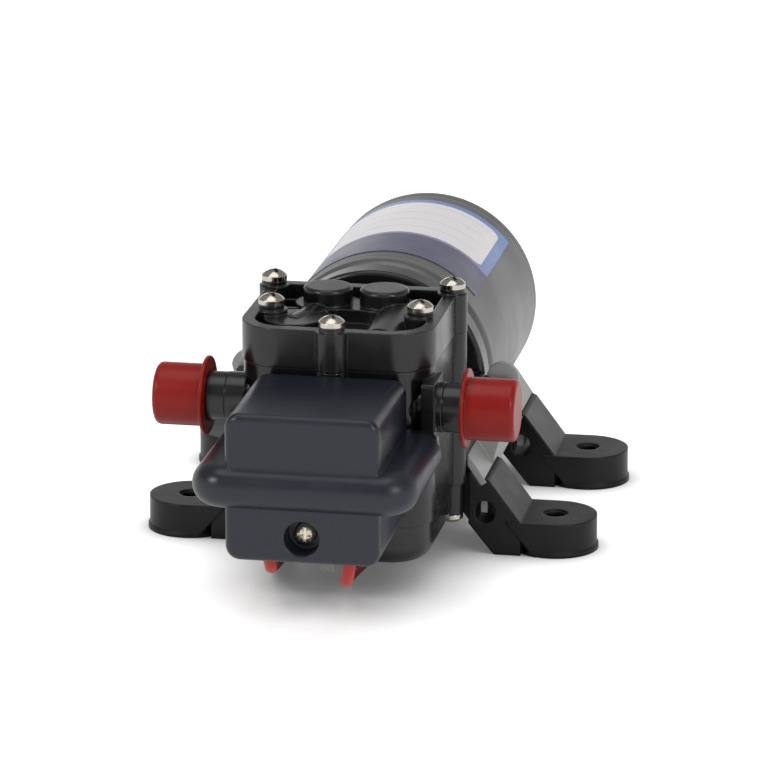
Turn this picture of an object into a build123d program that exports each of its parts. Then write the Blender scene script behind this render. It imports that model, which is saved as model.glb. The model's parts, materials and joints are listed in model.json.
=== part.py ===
from build123d import *
import math
import os

# A small 12 V diaphragm water pump on four rubber feet. Millimetres, Z up.
# The origin is the centre of the four foot holes, on the surface that the feet stand on.
# -Y is the pressure switch end, +Y is the motor's rear, and the motor's axis lies along Y.

os.makedirs("parts", exist_ok=True)

# general clearances
slip = 0.1               # between pieces that are pushed together
apart = 0.3              # between surfaces that move past each other
running = 0.04           # radial, shaft in bush
fit = 0.02               # radial, pressed or bonded

# motor
axis_height = 34.6
can_radius = 24.65
can_wall = 1.5
can_front = -15.0
can_rear = 50.5
can_edge = 3.0
end_cap_pit = 2.0
end_cap_pits_at = 17.75
end_cap_pit_depth = 1.2
shaft_radius = 2.5
bush_radius = 5.0
bush_length = 4.0
end_cap_depth = 3.2
end_cap_inset = 0.8
end_boss = 1.6
magnet_inner = 16.9
magnet_span = 130.0
magnet_front = -5.0
magnet_length = 40.0
core_radius = 16.2
core_front = -3.0
core_length = 33.0
slot_count = 5
slot_mouth = 1.8
slot_inner = 6.5
slot_outer = 13.2
tooth_width = 4.5
winding_overhang = 5.0
commutator_radius = 6.5
commutator_length = 8.0
bar_gap = 0.6
bar_depth = 1.2
brush_width = 4.5
brush_height = 5.0
brush_length = 7.0
label_front = -5.5
label_length = 47.8
label_angle = 102.6
label_thickness = 0.15

# crank and yoke
throw = 1.0
pin_radius = 2.0
hub_radius = 6.5
hub_length = 8.0
yoke_y = -44.0
bearing_width = 4.0
bearing_radius = 4.5
bearing_race = 0.85
ball_count = 7
yoke_width = 5.0
yoke_ring = 1.6
chamber_x = 8.2
chamber_radius = 6.6
piston_neck = 1.6
piston_seat = 4.6
piston_cap = 5.2
piston_cap_height = 1.5
piston_screw = 0.8
piston_screw_head = 1.5
membrane_web = 0.8
membrane_flange = 1.6

# pump head, in plan and in height
head_half = 20.3
head_front = -71.2
head_rear = -32.6
head_corner = 9.0
column_x = 19.4
column_y = -35.7
column_radius = 3.1
deck_low = axis_height + 7.6
deck_high = axis_height + 9.8
seam_low = axis_height - 18.1
seam_high = axis_height + 15.8
rim_height = 8.3
rim_width = 2.7
boss_rise = 1.1
boss_radius = 2.7
rib_rise = 2.2
rib_thick = 0.9
rib_ys = (-47.0, -40.2)
pocket_depth = 4.1
recess_x = 32.4
recess_y = 17.4
plate_rise = 1.5
gasket = 0.8
dome_x = 6.1
dome_y = -43.4
dome_radius = 5.3
dome_base = 6.9
dome_base_rise = 2.9
dome_rise = 6.5
disc_x = -10.6
disc_y = -58.2
disc_radius = 6.3
disc_rise = 3.2
duct_radius = 4.6
duct_x = 9.2
mid_screw_x = 15.9
mid_screw_y = -55.5
front_boss = 3.3
front_boss_depth = 6.5
sump_depth = 8.5
sump_wall = 2.2
foot_column = 2.5
foot_column_drop = 7.0
rear_bite = 8.0
sump_bite = 5.0
bite_spare = 1.0
front_sump_screw_x = 12.0
front_sump_screw_y = -61.5
case_x = 16.8
case_front = -52.5
case_rear = -36.0

# motor adapter between the head and the can
adapter_radius = can_radius - 0.35
adapter_disc = 7.0
neck_half = 16.4
neck_rise = 15.0
neck_corner = 5.0
neck_cavity = 12.2
adapter_web = 5.0
neck_bore = 11.0
motor_screw_x = 9.4
small_head = 2.3
small_head_height = 1.8
adapter_thread = 6.0
lug_front = -25.5
lug_rear = -22.6
lug_root = neck_half - 2.4
lug_reach = can_radius + 5.5
lug_low = axis_height - 6.0
lug_high = axis_height + 1.7
lug_flare = 1.0
lug_corner = 3.0
lug_screw_x = can_radius + 3.0
lug_screw_z = axis_height - 2.3
lug_screw_radius = 1.1
lug_head = 2.0
lug_head_height = 1.5
lug_nut = 2.3
lug_nut_thick = 1.8

# ports, hose tails and caps
port_y = -65.65
port_z = axis_height + 7.4
port_pad = 1.3
port_root = 1.5
port_boss = 5.3
outlet_pad_wide = 10.8
outlet_pad_high = 12.2
port_face = 23.0
spigot_radius = 4.0
spigot_length = 9.0
tail_bore = 3.1
tail_collar = 5.2
tail_root = 4.5
tail_barb = 5.2
tail_end = 36.6
barb_count = 3
cap_flange_near = 27.1
cap_flange_thick = 0.9
cap_flange_radius = 8.35
cap_radius = 6.6
cap_round = 1.2
cap_flange_round = 0.35
cap_end = 38.3
riser_x = 10.6
riser_y = -64.4
riser_radius = 2.7

# pressure switch
switch_x = 0.4
switch_front = -105.4
hood_rear = -74.7
hood_half = 15.95
hood_top = axis_height + 15.3
hood_bottom = axis_height - 15.6
hood_wall = 1.5
window_front = -101.0
window_rear = -80.0
slab_half = 23.3
slab_low = axis_height - 4.7
slab_high = axis_height + 4.2
slab_front = -108.0
slab_corner = 7.0
adjuster_x = switch_x
adjuster_z = axis_height - 10.2
well_radius = 3.7
well_depth = 5.2
well_wall = 1.1
base_low = axis_height - 15.2
base_high = axis_height + 6.9
base_half = hood_half - 0.5
base_step = 1.3
ear_half = slab_half - 0.9
ear_screw_x = 18.0
sense_radius = 4.0
sense_thick = 1.0
plunger_radius = 3.0
plunger_stem = 1.4
plunger_travel = 0.5
tube_inner = 3.1
tube_wall = 0.9
tube_front = -95.5
spring_wire = 0.6
spring_radius = 2.4
spring_turns = 6
adjuster_pitch = 0.5
adjuster_head = 2.35
adjuster_shank = 1.5
micro_x = 10.6
micro_front = -100.5
micro_thick = 6.4
micro_low = axis_height - 3.6
micro_high = axis_height + 6.8
blade_width = 2.8
blade_thick = 0.5
plate_thick = 4.8
flange_front = -84.0
seat_front = -93.2
seat_thick = 2.2
tube_end = 2.0
switch_screw_radius = 1.1
switch_head = 2.0
switch_head_height = 1.5
switch_thread = 6.0
micro_pin = 1.15
micro_post = 2.0
micro_pin_in = 2.6
finger_z = axis_height + 0.9
arm_thick = 1.6
adjuster_head_height = 1.7
tapping = 1.3

# bracket and feet
sheet = 1.5
foot_x = 40.5
foot_y = 25.5
foot_hole = 2.1
foot_recess = 2.7
foot_flange = 7.45
foot_end_radius = 9.5
foot_lip = 0.35
foot_lip_height = 1.0
foot_recess_depth = 0.4
flange_joint_high = can_radius + 6.35
flange_joint_low = can_radius + 12.65
arm_width = 17.4
tab_width = 14.0
bracket_front = -34.2
bracket_rear = 35.0
wing_mouth = (can_radius + 2.15, axis_height - 18.4)
wing_top = (can_radius - 1.95, axis_height - 12.3)
tab_x = can_radius + 1.35
tab_low = 8.9
window_x = can_radius + 1.75
window_z = 9.5
window_radius = 2.05
window_height = 5.0
ear_y = -21.0
ear_top = axis_height + 1.8
ear_centre_x = can_radius + 3.6
ear_radius = 3.5

# leads
lead_radius = 1.35
tip_radius = 0.85
tip_length = 7.0
floor_gap = 0.05
grommet_y = 42.0
grommet_long = 12.0
grommet_wide = 5.0
grommet_lip = 1.2
grommet_proud = 0.9
grommet_depth = 3.0
grommet_rim = 0.5

axis_plane = Plane(origin=(0, 0, axis_height), x_dir=(0, 1, 0), z_dir=(1, 0, 0))
motor_axis = Axis((0, 0, axis_height), (0, 1, 0))


# An upright plane across the pump at y: its own x and y are the pump's x and z, and it faces -Y.
def across(y, x=0.0, z=0.0):
    return Plane(origin=(x, y, z), x_dir=(1, 0, 0), z_dir=(0, -1, 0))


# An upright plane along the pump at x: its own x and y are the pump's y and z, and it faces +X.
def along(x, y=0.0, z=0.0):
    return Plane(origin=(x, y, z), x_dir=(0, 1, 0), z_dir=(1, 0, 0))


# A pan-head cross-slot screw with its head's underside on the plane and its shank behind it.
def pan_screw(place, head_radius, head_height, shank_radius, shank_length):
    side = 0.45 * head_height
    sagitta = head_height - side
    dome = (head_radius**2 + sagitta**2) / (2 * sagitta)
    half = math.asin(head_radius / dome) / 2
    slot_depth = 0.55 * head_height
    slot = 0.3 * head_radius
    with BuildPart() as screw:
        with BuildSketch(Plane.XZ):
            with BuildLine():
                Polyline(
                    (0, head_height),
                    (0, -shank_length),
                    (shank_radius / 2, -shank_length),
                    (shank_radius, shank_radius - shank_length),
                    (shank_radius, 0),
                    (head_radius, 0),
                    (head_radius, side),
                )
                ThreePointArc(
                    (head_radius, side),
                    (dome * math.sin(half), head_height - dome + dome * math.cos(half)),
                    (0, head_height),
                )
            make_face()
        revolve(axis=Axis.Z)
        with BuildSketch(Plane.XY.offset(head_height)):
            Rectangle(1.2 * head_radius, slot)
            Rectangle(slot, 1.2 * head_radius)
        extrude(amount=-slot_depth, mode=Mode.SUBTRACT)
    return screw.part.moved(place.location)


# Plan of the pump head, drawn in by inset, with its two rear screw columns.
def head_plan(inset, column):
    middle = (head_front + head_rear) / 2
    depth = head_rear - head_front - 2 * inset
    with BuildSketch() as plan:
        with Locations((0, middle)):
            Rectangle(2 * (head_half - inset), depth)
        fillet(plan.vertices().group_by(Axis.Y)[0], head_corner - inset)
        if column > 0:
            with Locations((-column_x, column_y), (column_x, column_y)):
                Circle(column)
    return plan.sketch


recess_centre = (0, yoke_y - 0.1)
chambers = [(-chamber_x, yoke_y), (chamber_x, yoke_y)]
rear_screws = [(-column_x, column_y), (column_x, column_y)]
mid_screws = [(-mid_screw_x, mid_screw_y), (mid_screw_x, mid_screw_y)]
front_screw = (0, head_front + 0.2)
front_sump_screws = [(side * front_sump_screw_x, front_sump_screw_y) for side in (-1, 1)]
risers = [(-riser_x, riser_y), (riser_x, riser_y)]
screw_radius = 1.4
screw_pilot = screw_radius + 0.05
screw_head = 2.75
screw_head_height = 2.0
cover_head_height = 2.3

# Motor can: a deep-drawn cup, closed towards the pump, with a boss for the front bush.
with BuildPart() as motor_can:
    with BuildSketch(axis_plane):
        with BuildLine():
            Polyline(
                (can_front, bush_radius),
                (can_front, can_radius),
                (can_rear, can_radius),
                (can_rear, can_radius - can_wall),
                (can_front + can_wall, can_radius - can_wall),
                (can_front + can_wall, bush_radius + can_wall),
                (can_front + bush_length, bush_radius + can_wall),
                (can_front + bush_length, bush_radius),
                close=True,
            )
        make_face()
    revolve(axis=motor_axis)
    front_rim = motor_can.edges().filter_by(GeomType.CIRCLE).group_by(Axis.Y)[0]
    fillet(front_rim.sort_by(SortBy.RADIUS)[-1], can_edge)
    rear_rim = motor_can.edges().filter_by(GeomType.CIRCLE).group_by(Axis.Y)[-1]
    fillet(rear_rim.sort_by(SortBy.RADIUS)[-1], can_wall / 2)
    with BuildSketch(across(can_front + can_wall, 0, axis_height)):
        with Locations((-motor_screw_x, 0), (motor_screw_x, 0)):
            Circle(screw_pilot)
    extrude(amount=can_wall, mode=Mode.SUBTRACT)
    with BuildSketch(Plane.XY.offset(axis_height - can_radius)):
        with Locations((0, grommet_y)):
            SlotOverall(grommet_long, grommet_wide)
    extrude(amount=2 * can_wall, mode=Mode.SUBTRACT)
motor_can.part.label = "motor_can"
export_step(motor_can.part, "parts/motor_can.step")

# Rear end cap: closes the can and seats the rear bush in a blind boss.
end_cap_rear = can_rear - end_cap_inset
end_cap_front = end_cap_rear - end_cap_depth
rear_bush_front = end_cap_front
with BuildPart() as motor_end_cap:
    with BuildSketch(across(end_cap_rear, 0, axis_height)):
        Circle(can_radius - can_wall)
    extrude(amount=end_cap_depth)
    with BuildSketch(across(end_cap_rear + end_boss, 0, axis_height)):
        Circle(bush_radius + can_wall)
    extrude(amount=end_boss)
    with BuildSketch(across(rear_bush_front + bush_length, 0, axis_height)):
        Circle(bush_radius)
    extrude(amount=bush_length, mode=Mode.SUBTRACT)
    with BuildSketch(across(end_cap_rear, 0, axis_height)):
        with PolarLocations(end_cap_pits_at, 4, start_angle=45):
            Circle(end_cap_pit)
    extrude(amount=end_cap_pit_depth, mode=Mode.SUBTRACT)
    fillet(motor_end_cap.edges().filter_by(GeomType.CIRCLE).group_by(Axis.Y)[-1], 0.7)
motor_end_cap.part.label = "motor_end_cap"
export_step(motor_end_cap.part, "parts/motor_end_cap.step")

# Two sintered bushes, one pressed into each end of the motor.
with BuildPart() as shaft_bushes:
    for bush_rear in (can_front + bush_length, rear_bush_front + bush_length):
        with BuildSketch(across(bush_rear, 0, axis_height)):
            Circle(bush_radius - fit)
            Circle(shaft_radius + running, mode=Mode.SUBTRACT)
        extrude(amount=bush_length)
shaft_bushes.part.label = "shaft_bushes"
export_step(shaft_bushes.part, "parts/shaft_bushes.step")

# Field magnets: two arc segments bonded inside the can.
magnet_outer = can_radius - can_wall - slip
with BuildPart() as field_magnets:
    with BuildSketch(across(magnet_front + magnet_length, 0, axis_height)):
        with PolarLocations(0, 2):
            with BuildLine():
                outer = CenterArc((0, 0), magnet_outer, -magnet_span / 2, magnet_span)
                inner = CenterArc((0, 0), magnet_inner, -magnet_span / 2, magnet_span)
                Line(outer @ 0, inner @ 0)
                Line(outer @ 1, inner @ 1)
            make_face()
    extrude(amount=magnet_length)
field_magnets.part.label = "field_magnets"
export_step(field_magnets.part, "parts/field_magnets.step")

# Rotor: shaft, slotted core, windings and commutator.
shaft_front = yoke_y + yoke_width / 2 + 1.0
shaft_rear = rear_bush_front + bush_length - apart
core_rear = core_front + core_length
with BuildPart() as motor_shaft:
    with BuildSketch(across(shaft_rear, 0, axis_height)):
        Circle(shaft_radius)
    extrude(amount=shaft_rear - shaft_front)
    chamfer(motor_shaft.edges().filter_by(GeomType.CIRCLE), 0.3)
motor_shaft.part.label = "motor_shaft"
export_step(motor_shaft.part, "parts/motor_shaft.step")

with BuildPart() as rotor_core:
    with BuildSketch(across(core_rear, 0, axis_height)):
        Circle(core_radius)
        Circle(slot_outer, mode=Mode.SUBTRACT)
        Circle(slot_inner)
        with PolarLocations((slot_inner + slot_outer) / 2, slot_count):
            Rectangle(slot_outer - slot_inner + 1.0, tooth_width)
        with PolarLocations(core_radius, slot_count, start_angle=180 / slot_count):
            Rectangle(2 * (core_radius - slot_outer) + 1.0, slot_mouth, mode=Mode.SUBTRACT)
        Circle(shaft_radius + fit, mode=Mode.SUBTRACT)
    extrude(amount=core_length)
rotor_core.part.label = "rotor_core"
export_step(rotor_core.part, "parts/rotor_core.step")

with BuildPart() as rotor_windings:
    with BuildSketch(across(core_rear + slip, 0, axis_height)):
        Circle(slot_outer - slip)
        Circle(slot_inner + slip, mode=Mode.SUBTRACT)
        with PolarLocations((slot_inner + slot_outer) / 2, slot_count):
            Rectangle(slot_outer, tooth_width + 2 * slip, mode=Mode.SUBTRACT)
    extrude(amount=core_length + 2 * slip)
    for overhang_rear in (core_rear + slip + winding_overhang, core_front - slip):
        with BuildSketch(across(overhang_rear, 0, axis_height)):
            Circle(slot_outer - slip)
            Circle(slot_inner + slip, mode=Mode.SUBTRACT)
        extrude(amount=winding_overhang)
rotor_windings.part.label = "rotor_windings"
export_step(rotor_windings.part, "parts/rotor_windings.step")

commutator_front = core_rear + winding_overhang + 1.6
with BuildPart() as commutator:
    with BuildSketch(across(commutator_front + commutator_length, 0, axis_height)):
        Circle(commutator_radius)
        Circle(shaft_radius + fit, mode=Mode.SUBTRACT)
        with PolarLocations(commutator_radius, slot_count):
            Rectangle(2 * bar_depth, bar_gap, mode=Mode.SUBTRACT)
    extrude(amount=commutator_length)
commutator.part.label = "commutator"
export_step(commutator.part, "parts/commutator.step")

# Brush card: a disc behind the commutator with two guides for the brushes.
brush_y = commutator_front + commutator_length / 2
card_rear = end_cap_front - slip
card_front = commutator_front + commutator_length + 0.4
guide_wall = 1.0
guide_in = commutator_radius + 1.3
guide_out = guide_in + 10.0
with BuildPart() as brush_card:
    with BuildSketch(across(card_rear, 0, axis_height)):
        Circle(can_radius - can_wall - slip)
        Circle(commutator_radius + 2.0, mode=Mode.SUBTRACT)
    extrude(amount=card_rear - card_front)
    guide_front = brush_y - brush_width / 2 - guide_wall
    with BuildSketch(across(card_front, 0, axis_height)):
        for side in (-1, 1):
            with Locations((side * (guide_in + guide_out) / 2, 0)):
                Rectangle(guide_out - guide_in, brush_height + 2 * guide_wall)
    extrude(amount=card_front - guide_front)
    with BuildSketch(across(brush_y + brush_width / 2 + slip, 0, axis_height)):
        for side in (-1, 1):
            with Locations((side * (guide_in + guide_out) / 2, 0)):
                Rectangle(guide_out - guide_in - guide_wall, brush_height + 2 * slip)
            with Locations((side * guide_in, 0)):
                Rectangle(2 * guide_wall, brush_height + 2 * slip)
    extrude(amount=brush_width + 2 * slip, mode=Mode.SUBTRACT)
brush_card.part.label = "brush_card"
export_step(brush_card.part, "parts/brush_card.step")

with BuildPart() as brushes:
    with BuildSketch(across(brush_y + brush_width / 2, 0, axis_height)):
        for side in (-1, 1):
            with Locations((side * (commutator_radius + brush_length / 2 - 1.0), 0)):
                Rectangle(brush_length, brush_height)
        Circle(commutator_radius + running, mode=Mode.SUBTRACT)
    extrude(amount=brush_width)
brushes.part.label = "brushes"
export_step(brushes.part, "parts/brushes.step")

# Brush springs: a folded leaf between each brush and the end of its guide.
leaf = 0.3
leaf_reach = 1.6
leaf_near = commutator_radius + brush_length - 1.0 + 0.03
leaf_far = guide_out - guide_wall / 2 - 0.03
with BuildPart() as brush_springs:
    with BuildSketch(Plane.XY.offset(axis_height - brush_height / 4)):
        for side in (-1, 1):
            with BuildLine():
                Polyline(
                    (side * (leaf_near + leaf / 2), brush_y - leaf_reach),
                    (side * (leaf_near + leaf / 2), brush_y + leaf_reach),
                    (side * (leaf_far - leaf / 2), brush_y - leaf_reach),
                    (side * (leaf_far - leaf / 2), brush_y + leaf_reach),
                )
            trace(line_width=leaf)
    extrude(amount=brush_height / 2)
brush_springs.part.label = "brush_springs"
export_step(brush_springs.part, "parts/brush_springs.step")

# Label: a film wrapped over the top of the can.
with BuildPart() as motor_label:
    with BuildSketch(across(label_front + label_length, 0, axis_height)):
        with BuildLine():
            film = CenterArc((0, 0), can_radius + label_thickness, 90 - label_angle / 2, label_angle)
            back = CenterArc((0, 0), can_radius + fit, 90 - label_angle / 2, label_angle)
            Line(film @ 0, back @ 0)
            Line(film @ 1, back @ 1)
        make_face()
    extrude(amount=label_length)
motor_label.part.label = "motor_label"
export_step(motor_label.part, "parts/motor_label.step")

# Outline of the lug on one side of the adapter, which runs out in front of the bracket's ear.
def lug_plan(side):
    with BuildSketch(Plane.XZ) as plan:
        with BuildLine():
            Polyline(
                (side * (adapter_radius - fit), lug_high + lug_flare),
                (side * lug_root, lug_high + lug_flare),
                (side * lug_root, lug_low),
                (side * (lug_reach - lug_corner), lug_low),
                (side * lug_reach, lug_low + lug_corner),
                (side * lug_reach, lug_high),
                (side * (adapter_radius + lug_corner), lug_high),
            )
            ThreePointArc(
                (side * (adapter_radius + lug_corner), lug_high),
                (side * (adapter_radius + lug_corner / 3), lug_high + lug_flare / 3),
                (side * (adapter_radius - fit), lug_high + lug_flare),
            )
        make_face()
    return plan.sketch


# Motor adapter: a disc against the can and a neck up to the pump body's rear wall.
adapter_screws_at = [(-13.6, 4.5), (13.6, 4.5), (-12.6, -11.0), (12.6, -11.0)]
with BuildPart() as motor_adapter:
    with BuildSketch(across(can_front, 0, axis_height)):
        Circle(adapter_radius)
    extrude(amount=adapter_disc)
    fillet(motor_adapter.edges().filter_by(GeomType.CIRCLE), 1.0)
    with BuildSketch(across(can_front - adapter_disc, 0, axis_height)):
        RectangleRounded(2 * neck_half, 2 * neck_rise, neck_corner)
    extrude(amount=can_front - adapter_disc - head_rear)
    with BuildSketch(across(lug_rear)):
        add(lug_plan(-1))
        add(lug_plan(1))
    extrude(amount=lug_rear - lug_front)
    with BuildSketch(across(can_front - adapter_disc)):
        add(lug_plan(-1))
        add(lug_plan(1))
        with Locations((0, axis_height)):
            Circle(adapter_radius - 1.5, mode=Mode.INTERSECT)
    extrude(amount=can_front - adapter_disc - lug_rear)
    with BuildSketch(across(can_front - adapter_web, 0, axis_height)):
        Circle(neck_cavity)
    extrude(amount=can_front - adapter_web - head_rear, mode=Mode.SUBTRACT)
    with BuildSketch(across(can_front, 0, axis_height)):
        Circle(bush_radius + 1.0)
        with Locations((-motor_screw_x, 0), (motor_screw_x, 0)):
            Circle(screw_pilot)
    extrude(amount=adapter_web, mode=Mode.SUBTRACT)
    with BuildSketch(across(head_rear + adapter_thread, 0, axis_height)):
        with Locations(*adapter_screws_at):
            Circle(screw_pilot)
    extrude(amount=adapter_thread, mode=Mode.SUBTRACT)
    with BuildSketch(across(lug_rear, 0, lug_screw_z)):
        with Locations((-lug_screw_x, 0), (lug_screw_x, 0)):
            Circle(lug_screw_radius + slip)
    extrude(amount=lug_rear - lug_front, mode=Mode.SUBTRACT)
motor_adapter.part.label = "motor_adapter"
export_step(motor_adapter.part, "parts/motor_adapter.step")

with BuildPart() as motor_screws:
    for side in (-1, 1):
        place = across(can_front - adapter_web, side * motor_screw_x, axis_height)
        add(pan_screw(place, small_head, small_head_height, screw_radius, adapter_web + can_wall + slip))
motor_screws.part.label = "motor_screws"
export_step(motor_screws.part, "parts/motor_screws.step")

with BuildPart() as adapter_screws:
    for x, rise in adapter_screws_at:
        place = across(case_rear, x, axis_height + rise)
        add(pan_screw(place, small_head, small_head_height, screw_radius, head_rear - case_rear + adapter_thread - slip))
adapter_screws.part.label = "adapter_screws"
export_step(adapter_screws.part, "parts/adapter_screws.step")

# Screws and nuts that hold the bracket's ears against the adapter's lugs.
with BuildPart() as lug_screws:
    for side in (-1, 1):
        place = across(lug_front, side * lug_screw_x, lug_screw_z)
        add(pan_screw(place, lug_head, lug_head_height, lug_screw_radius, ear_y + lug_nut_thick + slip - lug_front))
lug_screws.part.label = "lug_screws"
export_step(lug_screws.part, "parts/lug_screws.step")

with BuildPart() as lug_nuts:
    with BuildSketch(across(ear_y + lug_nut_thick, 0, lug_screw_z)):
        with Locations((-lug_screw_x, 0), (lug_screw_x, 0)):
            RegularPolygon(lug_nut, 6)
            Circle(lug_screw_radius + fit, mode=Mode.SUBTRACT)
    extrude(amount=lug_nut_thick)
lug_nuts.part.label = "lug_nuts"
export_step(lug_nuts.part, "parts/lug_nuts.step")

# Crank on the shaft's end: hub, counterweight below the axis and pin above it.
pin_z = axis_height + throw
pin_front = yoke_y - bearing_width / 2 - 0.4
hub_front = yoke_y + yoke_width / 2 + 0.5
counterweight = neck_bore - 1.5
with BuildPart() as crank:
    with BuildSketch(across(hub_front + hub_length, 0, axis_height)):
        Circle(hub_radius)
    extrude(amount=hub_length)
    with BuildSketch(across(hub_front + hub_length - 0.2, 0, axis_height)):
        Circle(counterweight)
        with Locations((0, counterweight)):
            Rectangle(2 * counterweight, 2 * counterweight, mode=Mode.SUBTRACT)
    extrude(amount=head_rear - case_rear - 2 * apart)
    with BuildSketch(across(hub_front, 0, pin_z)):
        Circle(pin_radius)
    extrude(amount=hub_front - pin_front)
    with BuildSketch(across(hub_front + hub_length, 0, axis_height)):
        Circle(shaft_radius + fit)
    extrude(amount=hub_front + hub_length - shaft_front + fit, mode=Mode.SUBTRACT)
crank.part.label = "crank"
export_step(crank.part, "parts/crank.step")

# Yoke bearing on the crank pin.
bearing_rear = yoke_y + bearing_width / 2
ball_track = (pin_radius + bearing_radius) / 2
ball_radius = ball_track - pin_radius - bearing_race + 0.25
with BuildPart() as bearing_inner:
    with BuildSketch(across(bearing_rear, 0, pin_z)):
        Circle(pin_radius + bearing_race)
        Circle(pin_radius + fit, mode=Mode.SUBTRACT)
    extrude(amount=bearing_width)
    with BuildSketch(Plane(origin=(0, yoke_y, pin_z), x_dir=(0, 1, 0), z_dir=(1, 0, 0))):
        with Locations((0, ball_track)):
            Circle(ball_radius + running)
    revolve(axis=Axis((0, yoke_y, pin_z), (0, 1, 0)), mode=Mode.SUBTRACT)
bearing_inner.part.label = "bearing_inner"
export_step(bearing_inner.part, "parts/bearing_inner.step")

with BuildPart() as bearing_outer:
    with BuildSketch(across(bearing_rear, 0, pin_z)):
        Circle(bearing_radius - fit)
        Circle(bearing_radius - bearing_race, mode=Mode.SUBTRACT)
    extrude(amount=bearing_width)
    with BuildSketch(Plane(origin=(0, yoke_y, pin_z), x_dir=(0, 1, 0), z_dir=(1, 0, 0))):
        with Locations((0, ball_track)):
            Circle(ball_radius + running)
    revolve(axis=Axis((0, yoke_y, pin_z), (0, 1, 0)), mode=Mode.SUBTRACT)
bearing_outer.part.label = "bearing_outer"
export_step(bearing_outer.part, "parts/bearing_outer.step")

with BuildPart() as bearing_balls:
    for ball in range(ball_count):
        turn = 2 * math.pi * ball / ball_count
        place = (ball_track * math.sin(turn), yoke_y, pin_z + ball_track * math.cos(turn))
        with Locations(place):
            Sphere(ball_radius)
bearing_balls.part.label = "bearing_balls"
export_step(bearing_balls.part, "parts/bearing_balls.step")

# Yoke: carries the bearing and rocks both pistons.
web_low = deck_high - 1.0
web_high = web_low + membrane_web
seat_top = web_low - apart
cap_low = web_high + 2 * throw + apart
cap_high = cap_low + piston_cap_height
beam_high = seat_top - 1.8
beam_low = beam_high - 2.6
with BuildPart() as yoke:
    with BuildSketch(across(yoke_y + yoke_width / 2)):
        with Locations((0, pin_z)):
            Circle(bearing_radius + yoke_ring)
        with Locations((0, (beam_low + beam_high) / 2)):
            Rectangle(2 * (chamber_x + piston_seat - 1.0), beam_high - beam_low)
        with Locations((0, pin_z)):
            Circle(bearing_radius, mode=Mode.SUBTRACT)
    extrude(amount=yoke_width)
    with BuildSketch(Plane.XY.offset(beam_high)):
        with Locations(*chambers):
            Circle(piston_seat)
    extrude(amount=seat_top - beam_high)
    with BuildSketch(Plane.XY.offset(seat_top)):
        with Locations(*chambers):
            Circle(piston_neck)
    extrude(amount=cap_low - seat_top)
    with BuildSketch(Plane.XY.offset(cap_low)):
        with Locations(*chambers):
            Circle(piston_screw + fit)
    extrude(amount=beam_low - cap_low, mode=Mode.SUBTRACT)
yoke.part.label = "yoke"
export_step(yoke.part, "parts/yoke.step")

with BuildPart() as piston_caps:
    with BuildSketch(Plane.XY.offset(cap_low)):
        with Locations(*chambers):
            Circle(piston_cap)
    extrude(amount=piston_cap_height)
    chamfer(piston_caps.edges().filter_by(GeomType.CIRCLE).group_by(Axis.Z)[-1], 0.5)
    with Locations(*[(x, y, cap_high) for x, y in chambers]):
        CounterSinkHole(piston_screw + fit, piston_screw_head + slip, depth=piston_cap_height)
piston_caps.part.label = "piston_caps"
export_step(piston_caps.part, "parts/piston_caps.step")

with BuildPart() as piston_screws:
    for x, y in chambers:
        with BuildSketch(Plane(origin=(x, y, 0), x_dir=(1, 0, 0), z_dir=(0, -1, 0))):
            with BuildLine():
                Polyline(
                    (0, cap_high - fit),
                    (piston_screw_head, cap_high - fit),
                    (piston_screw, cap_high - piston_screw),
                    (piston_screw, beam_low + piston_screw / 2),
                    (0, beam_low),
                    close=True,
                )
            make_face()
        revolve(axis=Axis((x, y, 0), (0, 0, 1)))
piston_screws.part.label = "piston_screws"
export_step(piston_screws.part, "parts/piston_screws.step")

# Membrane: a flange clamped round two thin dished webs, one under each pumping chamber.
cup_outer = chamber_radius + 0.3
with BuildPart() as membrane:
    with BuildSketch(Plane.XY.offset(deck_high)):
        with Locations(recess_centre):
            RectangleRounded(recess_x - 4 * slip, recess_y - 4 * slip, 2.8)
    extrude(amount=membrane_flange)
    with BuildSketch(Plane.XY.offset(web_low)):
        with Locations(*chambers):
            Circle(cup_outer)
    extrude(amount=deck_high - web_low)
    with BuildSketch(Plane.XY.offset(web_high)):
        with Locations(*chambers):
            Circle(cup_outer - 0.7)
    extrude(amount=deck_high + membrane_flange - web_high, mode=Mode.SUBTRACT)
    with BuildSketch(Plane.XY.offset(web_low)):
        with Locations(*chambers):
            Circle(piston_neck + throw + apart)
    extrude(amount=membrane_web, mode=Mode.SUBTRACT)
membrane.part.label = "membrane"
export_step(membrane.part, "parts/membrane.step")

# Valve plate over the membrane, with a chamber above each piston and its flow holes.
plate_low = deck_high + membrane_flange
plate_high = seam_high + plate_rise
ceiling = plate_high - 2.3
valve_disc = 2.3
valve_thick = 0.6
valve_stem = 0.8
valve_rear = yoke_y + 3.2
valve_front = yoke_y - 3.0
inlet_valves = [(-chamber_x, valve_rear), (chamber_x, valve_rear)]
outlet_valves = [(3.0 - chamber_x, valve_front), (chamber_x - 3.0, valve_front)]
with BuildPart() as valve_plate:
    with BuildSketch(Plane.XY.offset(plate_low)):
        with Locations(recess_centre):
            RectangleRounded(recess_x - 2 * slip, recess_y - 2 * slip, 2.9)
    extrude(amount=plate_high - plate_low)
    with BuildSketch(Plane.XY.offset(plate_low)):
        with Locations(*chambers):
            Circle(chamber_radius)
    extrude(amount=ceiling - plate_low, mode=Mode.SUBTRACT)
    with BuildSketch(Plane.XY.offset(ceiling)):
        with Locations(*inlet_valves, *outlet_valves):
            Circle(valve_stem + fit)
        for x, y in inlet_valves + outlet_valves:
            with Locations((x - 1.5, y), (x + 1.5, y)):
                Circle(0.6)
    extrude(amount=plate_high - ceiling, mode=Mode.SUBTRACT)
valve_plate.part.label = "valve_plate"
export_step(valve_plate.part, "parts/valve_plate.step")

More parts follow.
